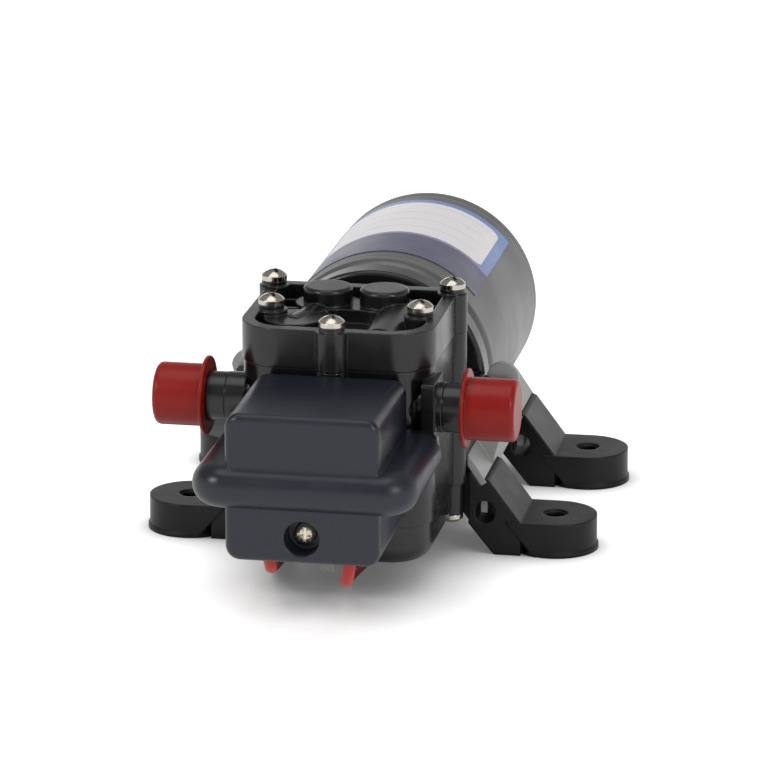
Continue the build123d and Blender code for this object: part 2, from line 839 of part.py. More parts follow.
# Umbrella check valves: the inlet discs hang under the plate, the outlet discs lie on it.
bulb = valve_stem + 0.25
seated = 0.02
with BuildPart() as check_valves:
    for valves, disc_low, bulb_low in (
        (inlet_valves, ceiling - valve_thick - seated, plate_high + seated),
        (outlet_valves, plate_high + seated, ceiling - valve_thick - seated),
    ):
        with BuildSketch(Plane.XY.offset(disc_low)):
            with Locations(*valves):
                Circle(valve_disc)
        extrude(amount=valve_thick)
        with BuildSketch(Plane.XY.offset(ceiling - valve_thick - seated)):
            with Locations(*valves):
                Circle(valve_stem)
        extrude(amount=plate_high - ceiling + 2 * valve_thick + 2 * seated)
        with BuildSketch(Plane.XY.offset(bulb_low)):
            with Locations(*valves):
                Circle(bulb)
        extrude(amount=valve_thick)
check_valves.part.label = "check_valves"
export_step(check_valves.part, "parts/check_valves.step")

# Pump body: crankcase below, membrane and valve plate seat above, port galleries in front.
port_sides = (-1, 1)
spigot_in = port_face - spigot_length
ear_z = (slab_low + slab_high) / 2
ear_boss = 3.2
with BuildPart() as pump_body:
    with BuildSketch(Plane.XY.offset(seam_low)):
        add(head_plan(0, column_radius))
    extrude(amount=seam_high - seam_low)
    with BuildSketch(Plane.XY.offset(seam_high - front_boss_depth)):
        with Locations(front_screw):
            Circle(front_boss)
    extrude(amount=front_boss_depth)
    with BuildSketch(across(head_front + ear_boss * 2, switch_x)):
        with Locations((-ear_screw_x, ear_z), (ear_screw_x, ear_z)):
            Circle(ear_boss)
    extrude(amount=ear_boss * 2)
    for side in port_sides:
        with BuildSketch(along(side * (head_half - port_root), port_y, port_z)):
            Circle(port_boss)
        extrude(amount=side * (port_face - head_half + port_root))
    with BuildSketch(along(head_half - port_root, port_y, port_z)):
        RectangleRounded(outlet_pad_wide, outlet_pad_high, 0.8)
    extrude(amount=port_root + port_pad)
    with BuildSketch(Plane.XY.offset(deck_high)):
        with Locations(recess_centre):
            RectangleRounded(recess_x, recess_y, 3.0)
    extrude(amount=seam_high - deck_high, mode=Mode.SUBTRACT)
    with BuildSketch(Plane.XY.offset(seam_low)):
        with Locations((0, (case_front + case_rear) / 2)):
            RectangleRounded(2 * case_x, case_rear - case_front, 1.0)
    extrude(amount=deck_low - seam_low, mode=Mode.SUBTRACT)
    with BuildSketch(Plane.XY.offset(deck_low)):
        with Locations(*chambers):
            Circle(cup_outer + apart)
    extrude(amount=deck_high - deck_low, mode=Mode.SUBTRACT)
    with BuildSketch(across(head_rear, 0, axis_height)):
        Circle(neck_bore)
        with Locations(*adapter_screws_at):
            Circle(screw_pilot)
    extrude(amount=head_rear - case_rear, mode=Mode.SUBTRACT)
    for side in port_sides:
        with BuildSketch(along(side * port_face, port_y, port_z)):
            Circle(spigot_radius + fit)
        extrude(amount=-side * spigot_length, mode=Mode.SUBTRACT)
        with BuildSketch(along(side * spigot_in, port_y, port_z)):
            Circle(tail_bore)
        extrude(amount=-side * (spigot_in - riser_x), mode=Mode.SUBTRACT)
    with BuildSketch(Plane.XY.offset(port_z)):
        with Locations(*risers):
            Circle(riser_radius)
    extrude(amount=seam_high - port_z, mode=Mode.SUBTRACT)
    with BuildSketch(Plane.XY.offset(adjuster_z)):
        with Locations((adjuster_x, riser_y)):
            Circle(tapping)
    extrude(amount=port_z - adjuster_z, mode=Mode.SUBTRACT)
    with BuildSketch(across(riser_y, adjuster_x, adjuster_z)):
        Circle(tapping)
    extrude(amount=riser_y - head_front, mode=Mode.SUBTRACT)
    with BuildSketch(along(adjuster_x, riser_y, port_z)):
        Circle(tapping)
    extrude(amount=riser_x - adjuster_x, mode=Mode.SUBTRACT)
    with BuildSketch(Plane.XY.offset(seam_high)):
        with Locations(*rear_screws, *mid_screws, front_screw):
            Circle(screw_pilot)
    extrude(amount=0.2 - front_boss_depth, mode=Mode.SUBTRACT)
    with BuildSketch(Plane.XY.offset(seam_low)):
        with Locations(*rear_screws, *front_sump_screws):
            Circle(screw_pilot)
    extrude(amount=rear_bite + bite_spare, mode=Mode.SUBTRACT)
    with BuildSketch(across(head_front, switch_x, ear_z)):
        with Locations((-ear_screw_x, 0), (ear_screw_x, 0)):
            Circle(switch_screw_radius + fit)
    extrude(amount=-switch_thread - 1.0, mode=Mode.SUBTRACT)
pump_body.part.label = "pump_body"
export_step(pump_body.part, "parts/pump_body.step")

# Top cover: rim and screw bosses round an open pocket, with the two valve domes and their ducts.
cover_top = seam_high + rim_height
cover_floor = cover_top - pocket_depth
cover_grow = 0.3
mid_boss = 3.4
gallery_high = cover_floor - 1.2
gallery_split = yoke_y
inlet_x = -riser_x
with BuildPart() as top_cover:
    with BuildSketch(Plane.XY.offset(seam_high)):
        add(head_plan(-cover_grow, column_radius + slip))
        with Locations(front_screw):
            Circle(front_boss + slip)
    extrude(amount=rim_height)
    with BuildSketch(Plane.XY.offset(cover_top)):
        add(head_plan(rim_width - cover_grow, 0))
        with Locations(*rear_screws):
            Circle(column_radius + slip, mode=Mode.SUBTRACT)
        with Locations(*mid_screws):
            Circle(mid_boss, mode=Mode.SUBTRACT)
        with Locations(front_screw):
            Circle(front_boss, mode=Mode.SUBTRACT)
    extrude(amount=-pocket_depth, mode=Mode.SUBTRACT)
    with BuildSketch(Plane.XY.offset(cover_floor)):
        with Locations((-dome_x, dome_y), (dome_x, dome_y)):
            Circle(dome_base)
    extrude(amount=dome_base_rise)
    with BuildSketch(Plane.XY.offset(cover_floor)):
        with Locations((disc_x, disc_y)):
            Circle(disc_radius)
    extrude(amount=disc_rise)
    with BuildSketch(Plane.XY.offset(cover_floor)):
        with Locations((0, dome_y - 4.5)):
            Rectangle(2 * dome_x, 3.0)
    extrude(amount=dome_base_rise)
    with BuildSketch(Plane.XY.offset(cover_floor)):
        for rib_y in rib_ys:
            with Locations((0, rib_y)):
                Rectangle(2 * (head_half - rim_width / 2), rib_thick)
    extrude(amount=rib_rise)
    ridge_length = math.hypot(disc_x + dome_x, disc_y - dome_y)
    with BuildSketch(Plane(origin=(-dome_x, dome_y, cover_floor - 0.6),
                           x_dir=(dome_y - disc_y, disc_x + dome_x, 0),
                           z_dir=(disc_x + dome_x, disc_y - dome_y, 0))):
        Circle(duct_radius - 0.4)
        with Locations((0, -duct_radius)):
            Rectangle(2 * duct_radius, 2 * duct_radius, mode=Mode.SUBTRACT)
    extrude(amount=ridge_length)
    with BuildSketch(across(dome_y, duct_x, cover_floor - 0.6)):
        Circle(duct_radius)
        with Locations((0, -duct_radius)):
            Rectangle(2 * duct_radius, 2 * duct_radius, mode=Mode.SUBTRACT)
    extrude(amount=dome_y - head_front - rim_width - 1.5)
    with BuildSketch(Plane.XY.offset(cover_floor)):
        with Locations((-dome_x, dome_y), (dome_x, dome_y)):
            Circle(dome_radius)
    extrude(amount=dome_rise)
    fillet(top_cover.edges().filter_by(GeomType.CIRCLE).group_by(Axis.Z)[-1], 0.8)
    with BuildSketch(Plane.XY.offset(seam_high)):
        with Locations(recess_centre):
            RectangleRounded(recess_x + 2 * slip, recess_y + 2 * slip, 3.1)
    extrude(amount=plate_rise, mode=Mode.SUBTRACT)
    with BuildSketch(Plane.XY.offset(seam_high)):
        add(head_plan(sump_wall - slip, 0))
    extrude(amount=gasket, mode=Mode.SUBTRACT)
    with BuildSketch(Plane.XY.offset(seam_high + gasket)):
        with BuildLine():
            Polyline(
                (inlet_x - 1.8, riser_y),
                (inlet_x - 1.8, valve_rear + 3.2),
                (chamber_x + 3.2, valve_rear + 3.2),
                (chamber_x + 3.2, gallery_split + 0.5),
                (inlet_x + 1.8, gallery_split + 0.5),
                (inlet_x + 1.8, riser_y),
                close=True,
            )
        make_face()
        with BuildLine():
            Polyline(
                (duct_x - 2.2, riser_y),
                (duct_x - 2.2, gallery_split - 6.4),
                (-chamber_x + 0.5, gallery_split - 6.4),
                (-chamber_x + 0.5, gallery_split - 0.5),
                (duct_x + 2.2, gallery_split - 0.5),
                (duct_x + 2.2, riser_y),
                close=True,
            )
        make_face()
        with Locations(*risers):
            Circle(riser_radius)
    extrude(amount=gallery_high - seam_high - gasket, mode=Mode.SUBTRACT)
    with BuildSketch(Plane.XY.offset(cover_top)):
        with Locations(*rear_screws, *mid_screws, front_screw):
            Circle(boss_radius)
    extrude(amount=boss_rise)
    with BuildSketch(Plane.XY.offset(cover_top + boss_rise)):
        with Locations(*rear_screws, *mid_screws, front_screw):
            Circle(screw_radius + slip)
    extrude(amount=-rim_height - boss_rise, mode=Mode.SUBTRACT)
top_cover.part.label = "top_cover"
export_step(top_cover.part, "parts/top_cover.step")

# Gasket between body and cover, cut away round the valve plate and the two risers.
with BuildPart() as cover_gasket:
    with BuildSketch(Plane.XY.offset(seam_high)):
        add(head_plan(sump_wall, 0))
        with Locations(recess_centre):
            RectangleRounded(recess_x + 2 * slip, recess_y + 2 * slip, 3.1, mode=Mode.SUBTRACT)
        with Locations(*risers):
            Circle(riser_radius, mode=Mode.SUBTRACT)
        with Locations(*mid_screws):
            Circle(screw_radius + slip, mode=Mode.SUBTRACT)
        with Locations(front_screw):
            Circle(front_boss, mode=Mode.SUBTRACT)
        with Locations(*rear_screws):
            Circle(screw_radius + slip, mode=Mode.SUBTRACT)
    extrude(amount=gasket)
cover_gasket.part.label = "cover_gasket"
export_step(cover_gasket.part, "parts/cover_gasket.step")

with BuildPart() as cover_screws:
    for x, y in rear_screws + mid_screws + [front_screw]:
        place = Plane(origin=(x, y, cover_top + boss_rise), x_dir=(0.8, 0.6, 0), z_dir=(0, 0, 1))
        length = boss_rise + rim_height + front_boss_depth - fit * 25
        add(pan_screw(place, screw_head, cover_head_height, screw_radius, length))
cover_screws.part.label = "cover_screws"
export_step(cover_screws.part, "parts/cover_screws.step")

# Bottom cap: closes the crankcase from below.
sump_low = seam_low - sump_depth
with BuildPart() as bottom_cap:
    with BuildSketch(Plane.XY.offset(seam_low)):
        add(head_plan(0.5, 0))
    extrude(amount=-sump_depth)
    fillet(bottom_cap.edges().group_by(Axis.Z)[0], 3.6)
    with BuildSketch(Plane.XY.offset(seam_low)):
        with Locations(*rear_screws):
            Circle(foot_column)
    extrude(amount=-foot_column_drop)
    with BuildSketch(Plane.XY.offset(seam_low)):
        add(head_plan(3.6, 0))
        with Locations(*front_sump_screws):
            Circle(4.2, mode=Mode.SUBTRACT)
    extrude(amount=sump_wall - sump_depth, mode=Mode.SUBTRACT)
    with BuildSketch(Plane.XY.offset(seam_low)):
        with Locations(*rear_screws, *front_sump_screws):
            Circle(screw_radius + slip)
    extrude(amount=-sump_depth, mode=Mode.SUBTRACT)
    with BuildSketch(Plane.XY.offset(sump_low)):
        with Locations(*front_sump_screws):
            Circle(screw_head + apart)
    extrude(amount=screw_head_height + apart, mode=Mode.SUBTRACT)
    with BuildSketch(Plane.XY.offset(seam_low - foot_column_drop)):
        with Locations(*rear_screws):
            Circle(screw_head + apart)
    extrude(amount=-sump_depth, mode=Mode.SUBTRACT)
bottom_cap.part.label = "bottom_cap"
export_step(bottom_cap.part, "parts/bottom_cap.step")

with BuildPart() as bottom_screws:
    for x, y in rear_screws:
        place = Plane(origin=(x, y, seam_low - foot_column_drop), x_dir=(1, 0, 0), z_dir=(0, 0, -1))
        add(pan_screw(place, foot_column, screw_head_height, screw_radius, foot_column_drop + rear_bite))
    for x, y in front_sump_screws:
        place = Plane(origin=(x, y, sump_low + screw_head_height + apart), x_dir=(1, 0, 0), z_dir=(0, 0, -1))
        add(pan_screw(place, screw_head, screw_head_height, screw_radius, sump_depth + sump_bite))
bottom_screws.part.label = "bottom_screws"
export_step(bottom_screws.part, "parts/bottom_screws.step")

# Hose tails: a spigot in the body, a collar and a barbed tail; the right one is made first.
spigot_bore = 2.2
oring_radius = 0.55
oring_x = spigot_in + 3.0
groove_radius = spigot_radius - 2 * oring_radius
collar_end = cap_flange_near - 0.05
barb_pitch = (tail_end - collar_end) / barb_count
with BuildPart() as outlet_tail:
    with BuildSketch(Plane(origin=(0, port_y, port_z), x_dir=(1, 0, 0), z_dir=(0, -1, 0))):
        with BuildLine():
            outline = [
                (spigot_in, spigot_bore),
                (spigot_in, spigot_radius),
                (oring_x - oring_radius - fit, spigot_radius),
                (oring_x - oring_radius - fit, groove_radius),
                (oring_x + oring_radius + fit, groove_radius),
                (oring_x + oring_radius + fit, spigot_radius),
                (port_face, spigot_radius),
                (port_face, tail_collar),
                (collar_end, tail_collar),
                (collar_end, tail_root),
            ]
            for barb in range(barb_count):
                start = collar_end + barb * barb_pitch
                outline.append((start + 0.3 * barb_pitch, tail_root))
                outline.append((start + 0.3 * barb_pitch, tail_barb))
                outline.append((start + 0.45 * barb_pitch, tail_barb))
                outline.append((start + barb_pitch, tail_root))
            outline.append((tail_end, tail_bore))
            outline.append((port_face, tail_bore))
            outline.append((port_face - 1.0, spigot_bore))
            Polyline(*outline, close=True)
        make_face()
    revolve(axis=Axis((0, port_y, port_z), (1, 0, 0)))
outlet_tail.part.label = "outlet_tail"
export_step(outlet_tail.part, "parts/outlet_tail.step")

with BuildPart() as inlet_tail:
    mirror(outlet_tail.part, about=Plane.YZ)
inlet_tail.part.label = "inlet_tail"
export_step(inlet_tail.part, "parts/inlet_tail.step")

with BuildPart() as port_orings:
    for side in port_sides:
        with BuildSketch(Plane(origin=(side * oring_x, port_y, port_z), x_dir=(1, 0, 0), z_dir=(0, -1, 0))):
            with Locations((0, spigot_radius - oring_radius)):
                Circle(oring_radius)
        revolve(axis=Axis((0, port_y, port_z), (1, 0, 0)))
port_orings.part.label = "port_orings"
export_step(port_orings.part, "parts/port_orings.step")

# Transport caps pushed over the hose tails.
cap_bore = tail_barb + 0.03
with BuildPart() as outlet_cap:
    with BuildSketch(Plane(origin=(0, port_y, port_z), x_dir=(1, 0, 0), z_dir=(0, -1, 0))):
        with BuildLine():
            Polyline(
                (cap_flange_near, cap_bore),
                (cap_flange_near, cap_flange_radius),
                (cap_flange_near + cap_flange_thick, cap_flange_radius),
                (cap_flange_near + cap_flange_thick, cap_radius),
                (cap_end, cap_radius),
                (cap_end, 0),
                (tail_end + apart, 0),
                (tail_end + apart, cap_bore),
                close=True,
            )
        make_face()
    revolve(axis=Axis((0, port_y, port_z), (1, 0, 0)))
    outer_rims = outlet_cap.edges().filter_by(GeomType.CIRCLE).group_by(Axis.X)[-1]
    fillet(outer_rims, cap_round)
    flange_rims = outlet_cap.edges().filter_by(GeomType.CIRCLE).sort_by(SortBy.RADIUS)[-2:]
    fillet(flange_rims, cap_flange_round)
outlet_cap.part.label = "outlet_cap"
export_step(outlet_cap.part, "parts/outlet_cap.step")

with BuildPart() as inlet_cap:
    mirror(outlet_cap.part, about=Plane.YZ)
inlet_cap.part.label = "inlet_cap"
export_step(inlet_cap.part, "parts/inlet_cap.step")

# Switch base: plate on the body's front wall with two screw ears and the spring tube.
plate_front = head_front - plate_thick
ear_low = slab_low + hood_wall + 0.4
ear_high = slab_high - hood_wall - 0.4
micro_middle = (micro_low + micro_high) / 2
micro_pins = [(side * (micro_x - micro_pin_in), micro_middle - micro_pin_in) for side in port_sides]
with BuildPart() as switch_base:
    with BuildSketch(across(head_front, switch_x)):
        with Locations((0, (base_low + base_high) / 2)):
            RectangleRounded(2 * base_half, base_high - base_low, 1.5)
        with Locations((0, ear_z)):
            RectangleRounded(2 * ear_half, slab_high - slab_low - 0.8, 3.5)
    extrude(amount=head_front - hood_rear - 0.02)
    with BuildSketch(across(head_front, switch_x)):
        with Locations((0, (base_low + base_high + base_step) / 2)):
            RectangleRounded(2 * (hood_half - hood_wall - slip), base_high - base_low - base_step, 1.5)
        with Locations((0, ear_z)):
            RectangleRounded(2 * (slab_half - hood_wall) - 0.8, ear_high - ear_low, 2.4)
    extrude(amount=head_front - plate_front)
    with BuildSketch(across(plate_front, adjuster_x, adjuster_z)):
        Circle(tube_inner + tube_wall)
    extrude(amount=plate_front - tube_front + tube_end)
    with BuildSketch(across(head_front, adjuster_x, adjuster_z)):
        Circle(sense_radius + fit)
    extrude(amount=sense_thick, mode=Mode.SUBTRACT)
    with BuildSketch(across(head_front, adjuster_x, adjuster_z)):
        Circle(tube_inner)
    extrude(amount=head_front - tube_front, mode=Mode.SUBTRACT)
    with BuildSketch(across(tube_front, adjuster_x, adjuster_z)):
        Circle(adjuster_shank + fit)
    extrude(amount=tube_end, mode=Mode.SUBTRACT)
    with BuildSketch(across(plate_front, adjuster_x, adjuster_z + tube_inner)):
        with Locations((0, tube_wall)):
            Rectangle(3.0 + 2 * slip, 4 * tube_wall)
    extrude(amount=plate_front - flange_front + 1.0, mode=Mode.SUBTRACT)
    with BuildSketch(across(head_front, switch_x, ear_z)):
        with Locations((-ear_screw_x, 0), (ear_screw_x, 0)):
            Circle(switch_screw_radius + slip)
    extrude(amount=head_front - plate_front, mode=Mode.SUBTRACT)
    with BuildSketch(across(plate_front, switch_x)):
        with Locations(*micro_pins):
            Circle(micro_post)
    extrude(amount=plate_front - micro_front - micro_thick)
    with BuildSketch(across(micro_front + micro_thick, switch_x)):
        with Locations(*micro_pins):
            Circle(micro_pin)
    extrude(amount=micro_thick - 1.0)
switch_base.part.label = "switch_base"
export_step(switch_base.part, "parts/switch_base.step")

with BuildPart() as switch_screws:
    for side in port_sides:
        place = across(plate_front, switch_x + side * ear_screw_x, ear_z)
        add(pan_screw(place, switch_head, switch_head_height, switch_screw_radius, plate_thick + switch_thread))
switch_screws.part.label = "switch_screws"
export_step(switch_screws.part, "parts/switch_screws.step")

# Pressure-sensing disc in the base's rear face, over the body's tapping.
with BuildPart() as sense_disc:
    with BuildSketch(across(head_front, adjuster_x, adjuster_z)):
        Circle(sense_radius)
    extrude(amount=sense_thick)
sense_disc.part.label = "sense_disc"
export_step(sense_disc.part, "parts/sense_disc.step")

# Plunger: head on the sensing disc, rod, spring flange and an arm up to the micro switch.
button_tip = micro_front + micro_thick + 1.0
with BuildPart() as switch_plunger:
    with BuildSketch(across(head_front - sense_thick, adjuster_x, adjuster_z)):
        Circle(plunger_radius - slip)
    extrude(amount=2.0)
    with BuildSketch(across(head_front - sense_thick - 2.0, adjuster_x, adjuster_z)):
        Circle(plunger_stem)
    extrude(amount=head_front - sense_thick - 2.0 - flange_front)
    with BuildSketch(across(flange_front + arm_thick, adjuster_x, adjuster_z)):
        Circle(plunger_radius - slip)
    extrude(amount=arm_thick)
    with BuildSketch(across(flange_front + arm_thick, adjuster_x, adjuster_z)):
        with Locations((0, (finger_z + 1.5 - adjuster_z) / 2)):
            Rectangle(3.0 - 2 * slip, finger_z + 1.5 - adjuster_z)
    extrude(amount=arm_thick)
    with BuildSketch(across(flange_front, adjuster_x, finger_z)):
        Rectangle(2.8, 3.0)
    extrude(amount=flange_front - button_tip - slip)
switch_plunger.part.label = "switch_plunger"
export_step(switch_plunger.part, "parts/switch_plunger.step")

# Spring seat and the adjusting screw that presses it.
with BuildPart() as spring_seat:
    with BuildSketch(across(seat_front + seat_thick, adjuster_x, adjuster_z)):
        Circle(tube_inner - slip)
    extrude(amount=seat_thick)
spring_seat.part.label = "spring_seat"
export_step(spring_seat.part, "parts/spring_seat.step")

head_under = switch_front + well_depth - 2 * apart - slip
with BuildPart() as adjuster_screw:
    place = across(head_under, adjuster_x, adjuster_z)
    add(pan_screw(place, adjuster_head, adjuster_head_height, adjuster_shank, seat_front - head_under - fit))
adjuster_screw.part.label = "adjuster_screw"
export_step(adjuster_screw.part, "parts/adjuster_screw.step")

spring_low = seat_front + seat_thick + spring_wire / 2
spring_high = flange_front - 1.1 - spring_wire / 2
with BuildPart() as switch_spring:
    coil = Helix((spring_high - spring_low) / spring_turns, spring_high - spring_low, spring_radius,
                 center=(adjuster_x, spring_low, adjuster_z), direction=(0, 1, 0))
    with BuildSketch(Plane(origin=coil @ 0, z_dir=coil % 0)):
        RegularPolygon(spring_wire / 2, 5)
    sweep(path=coil)
switch_spring.part.label = "switch_spring"
export_step(switch_spring.part, "parts/switch_spring.step")

# Micro switch with its button and three blades.
micro_rear = micro_front + micro_thick
with BuildPart() as micro_switch:
    with BuildSketch(across(micro_rear, switch_x)):
        with Locations((0, micro_middle)):
            Rectangle(2 * micro_x, micro_high - micro_low)
        with Locations(*micro_pins):
            Circle(micro_pin + apart / 6, mode=Mode.SUBTRACT)
    extrude(amount=micro_thick)
    with BuildSketch(across(micro_rear, adjuster_x, finger_z)):
        Rectangle(2.0 + 2 * slip, 3.0 + 2 * slip)
    extrude(amount=1.8, mode=Mode.SUBTRACT)
micro_switch.part.label = "micro_switch"
export_step(micro_switch.part, "parts/micro_switch.step")

with BuildPart() as micro_button:
    with BuildSketch(across(button_tip, adjuster_x, finger_z)):
        Rectangle(2.0, 3.0)
    extrude(amount=button_tip - micro_rear + 1.0)
micro_button.part.label = "micro_button"
export_step(micro_button.part, "parts/micro_button.step")

blade_y = micro_front + 2.4
blades = [(-8.0, axis_height - 12.25), (4.4, axis_height - 19.0), (9.0, axis_height - 12.25)]
with BuildPart() as switch_blades:
    for x, low in blades:
        with BuildSketch(across(blade_y + blade_thick / 2, x, (low + micro_low) / 2)):
            Rectangle(blade_width, micro_low - low)
        extrude(amount=blade_thick)
switch_blades.part.label = "switch_blades"
export_step(switch_blades.part, "parts/switch_blades.step")

# Hood over the switch: a box with a full-round slab across it, open at the rear and below.


# The hood's cross slab, drawn in by inset; its front and side edges are fully round.
def hood_slab(inset):
    thickness = slab_high - slab_low - 2 * inset
    depth = hood_rear - slab_front - inset
    with BuildPart() as slab:
        with BuildSketch(Plane.XY.offset(slab_low + inset)) as outline:
            with Locations((switch_x, hood_rear - depth / 2)):
                Rectangle(2 * (slab_half - inset), depth)
            fillet(outline.vertices().group_by(Axis.Y)[0], slab_corner - inset)
        extrude(amount=thickness)
        rims = slab.edges().filter_by(Axis.Z, reverse=True)
        rims = rims.group_by(Axis.Z)[0].sort_by(Axis.Y)[:-1] + rims.group_by(Axis.Z)[-1].sort_by(Axis.Y)[:-1]
        fillet(rims, 0.49 * thickness)
    return slab.part


with BuildPart() as switch_hood:
    with BuildSketch(across(hood_rear, switch_x, (hood_bottom + hood_top) / 2)):
        Rectangle(2 * hood_half, hood_top - hood_bottom)
    extrude(amount=hood_rear - switch_front)
    fillet(switch_hood.edges().filter_by(Axis.Y), 2 * hood_wall)
    fillet(switch_hood.edges().group_by(Axis.Y)[0], hood_wall)
    add(hood_slab(0))
    with BuildSketch(across(hood_rear, switch_x, (hood_bottom + hood_top) / 2)):
        RectangleRounded(2 * (hood_half - hood_wall), hood_top - hood_bottom - 2 * hood_wall, 1.5)
    extrude(amount=hood_rear - switch_front - hood_wall, mode=Mode.SUBTRACT)
    add(hood_slab(hood_wall), mode=Mode.SUBTRACT)
    with BuildSketch(across(switch_front + well_depth + well_wall, adjuster_x, adjuster_z)):
        Circle(well_radius + well_wall)
    extrude(amount=well_depth + well_wall - hood_wall / 2)
    with BuildSketch(across(switch_front, adjuster_x, adjuster_z)):
        Circle(well_radius)
    extrude(amount=-well_depth, mode=Mode.SUBTRACT)
    with BuildSketch(across(switch_front, adjuster_x, adjuster_z)):
        Circle(adjuster_shank + 2 * slip)
    extrude(amount=-well_depth - 2 * well_wall, mode=Mode.SUBTRACT)
    with BuildSketch(Plane.XY.offset(hood_bottom)):
        with Locations((switch_x, (window_front + window_rear) / 2)):
            RectangleRounded(2 * hood_half - 4 * hood_wall, window_rear - window_front, 1.0)
    extrude(amount=hood_wall, mode=Mode.SUBTRACT)
switch_hood.part.label = "switch_hood"
export_step(switch_hood.part, "parts/switch_hood.step")

# Bracket: a cradle under the can whose wings reach into the feet, with an ear at each side.
cradle_inner = can_radius + 0.05
cradle_mid = cradle_inner + sheet / 2
wing_run = math.hypot(wing_mouth[0] - wing_top[0], wing_mouth[1] - wing_top[1])
down_x = (wing_mouth[0] - wing_top[0]) / wing_run
down_z = (wing_mouth[1] - wing_top[1]) / wing_run
wing_low = (wing_mouth[0] + sheet / 2 * down_z, wing_mouth[1] - sheet / 2 * down_x)
apex_drop = axis_height - (wing_top[1] - sheet / 2 * down_x)
apex_x = math.sqrt(cradle_mid**2 - apex_drop**2)
tab_clear = 0.1


# Section of one wing with its tab, thickness wide, out to the given end.
def wing_section(end, thickness):
    half_x = -down_z * thickness / 2
    half_z = down_x * thickness / 2
    top_x = apex_x
    top_z = axis_height - apex_drop
    with BuildSketch(Plane.XZ) as section:
        with BuildLine():
            Polyline(
                (top_x + half_x, top_z + half_z),
                (end[0] + half_x, end[1] + half_z),
                (end[0] - half_x, end[1] - half_z),
                (top_x - half_x, top_z - half_z),
                close=True,
            )
        make_face()
    return section.sketch


with BuildPart() as bracket:
    with BuildSketch(across(bracket_rear, 0, axis_height)):
        Circle(cradle_inner + sheet)
        Circle(cradle_inner, mode=Mode.SUBTRACT)
        with Locations((0, 2 * can_radius - apex_drop)):
            Rectangle(4 * can_radius, 4 * can_radius, mode=Mode.SUBTRACT)
    extrude(amount=bracket_rear - bracket_front)
    for side in port_sides:
        with BuildSketch(across(bracket_rear)):
            add(wing_section(wing_low, sheet) if side > 0 else mirror(wing_section(wing_low, sheet), Plane.YZ))
        extrude(amount=bracket_rear - bracket_front)
        for tab_y in (-foot_y, foot_y):
            with BuildSketch(across(tab_y + tab_width / 2)):
                with Locations((side * tab_x, (tab_low + wing_low[1]) / 2)):
                    Rectangle(sheet, wing_low[1] - tab_low)
            extrude(amount=tab_width)
    with BuildSketch(across(ear_y)):
        for side in port_sides:
            with BuildLine():
                Polyline(
                    (side * (ear_centre_x - ear_radius), ear_top),
                    (side * (ear_centre_x - ear_radius), axis_height),
                    (side * wing_top[0], wing_top[1]),
                    (side * wing_low[0], wing_low[1]),
                    (side * (wing_mouth[0] - 0.4), wing_mouth[1] + 2.4),
                    (side * (ear_centre_x + ear_radius), ear_top),
                )
                ThreePointArc(
                    (side * (ear_centre_x + ear_radius), ear_top),
                    (side * ear_centre_x, ear_top + ear_radius),
                    (side * (ear_centre_x - ear_radius), ear_top),
                )
            make_face()
        with Locations((-lug_screw_x, lug_screw_z), (lug_screw_x, lug_screw_z)):
            Circle(lug_screw_radius + slip, mode=Mode.SUBTRACT)
    extrude(amount=sheet)
    with BuildSketch(across(head_rear + apart, 0, axis_height - can_radius)):
        Rectangle(2 * (column_x + column_radius), 2 * can_radius)
    extrude(amount=head_rear + apart - bracket_front, mode=Mode.SUBTRACT)
bracket.part.label = "bracket"
export_step(bracket.part, "parts/bracket.step")

# Feet: a drilled flange and an arm that rises to the cradle, slotted for the wing and its tab.
foot_under = [
    (can_radius - 7.75, axis_height - 20.2),
    (can_radius - 3.15, 8.4),
    (can_radius + 3.05, 0.8),
    (can_radius + 3.85, 0.0),
]
foot_over = [
    (can_radius + 9.55, foot_flange),
    (can_radius + 2.75, axis_height - 18.1),
    (can_radius - 1.55, axis_height - 16.1),
]
cradle_clear = cradle_inner + sheet + 0.1
arm_high = foot_over[2][1]
arm_in = foot_under[0][1]
flange_round = foot_end_radius - foot_lip


def beside_cradle(z):
    return (math.sqrt(cradle_clear**2 - (axis_height - z) ** 2), z)


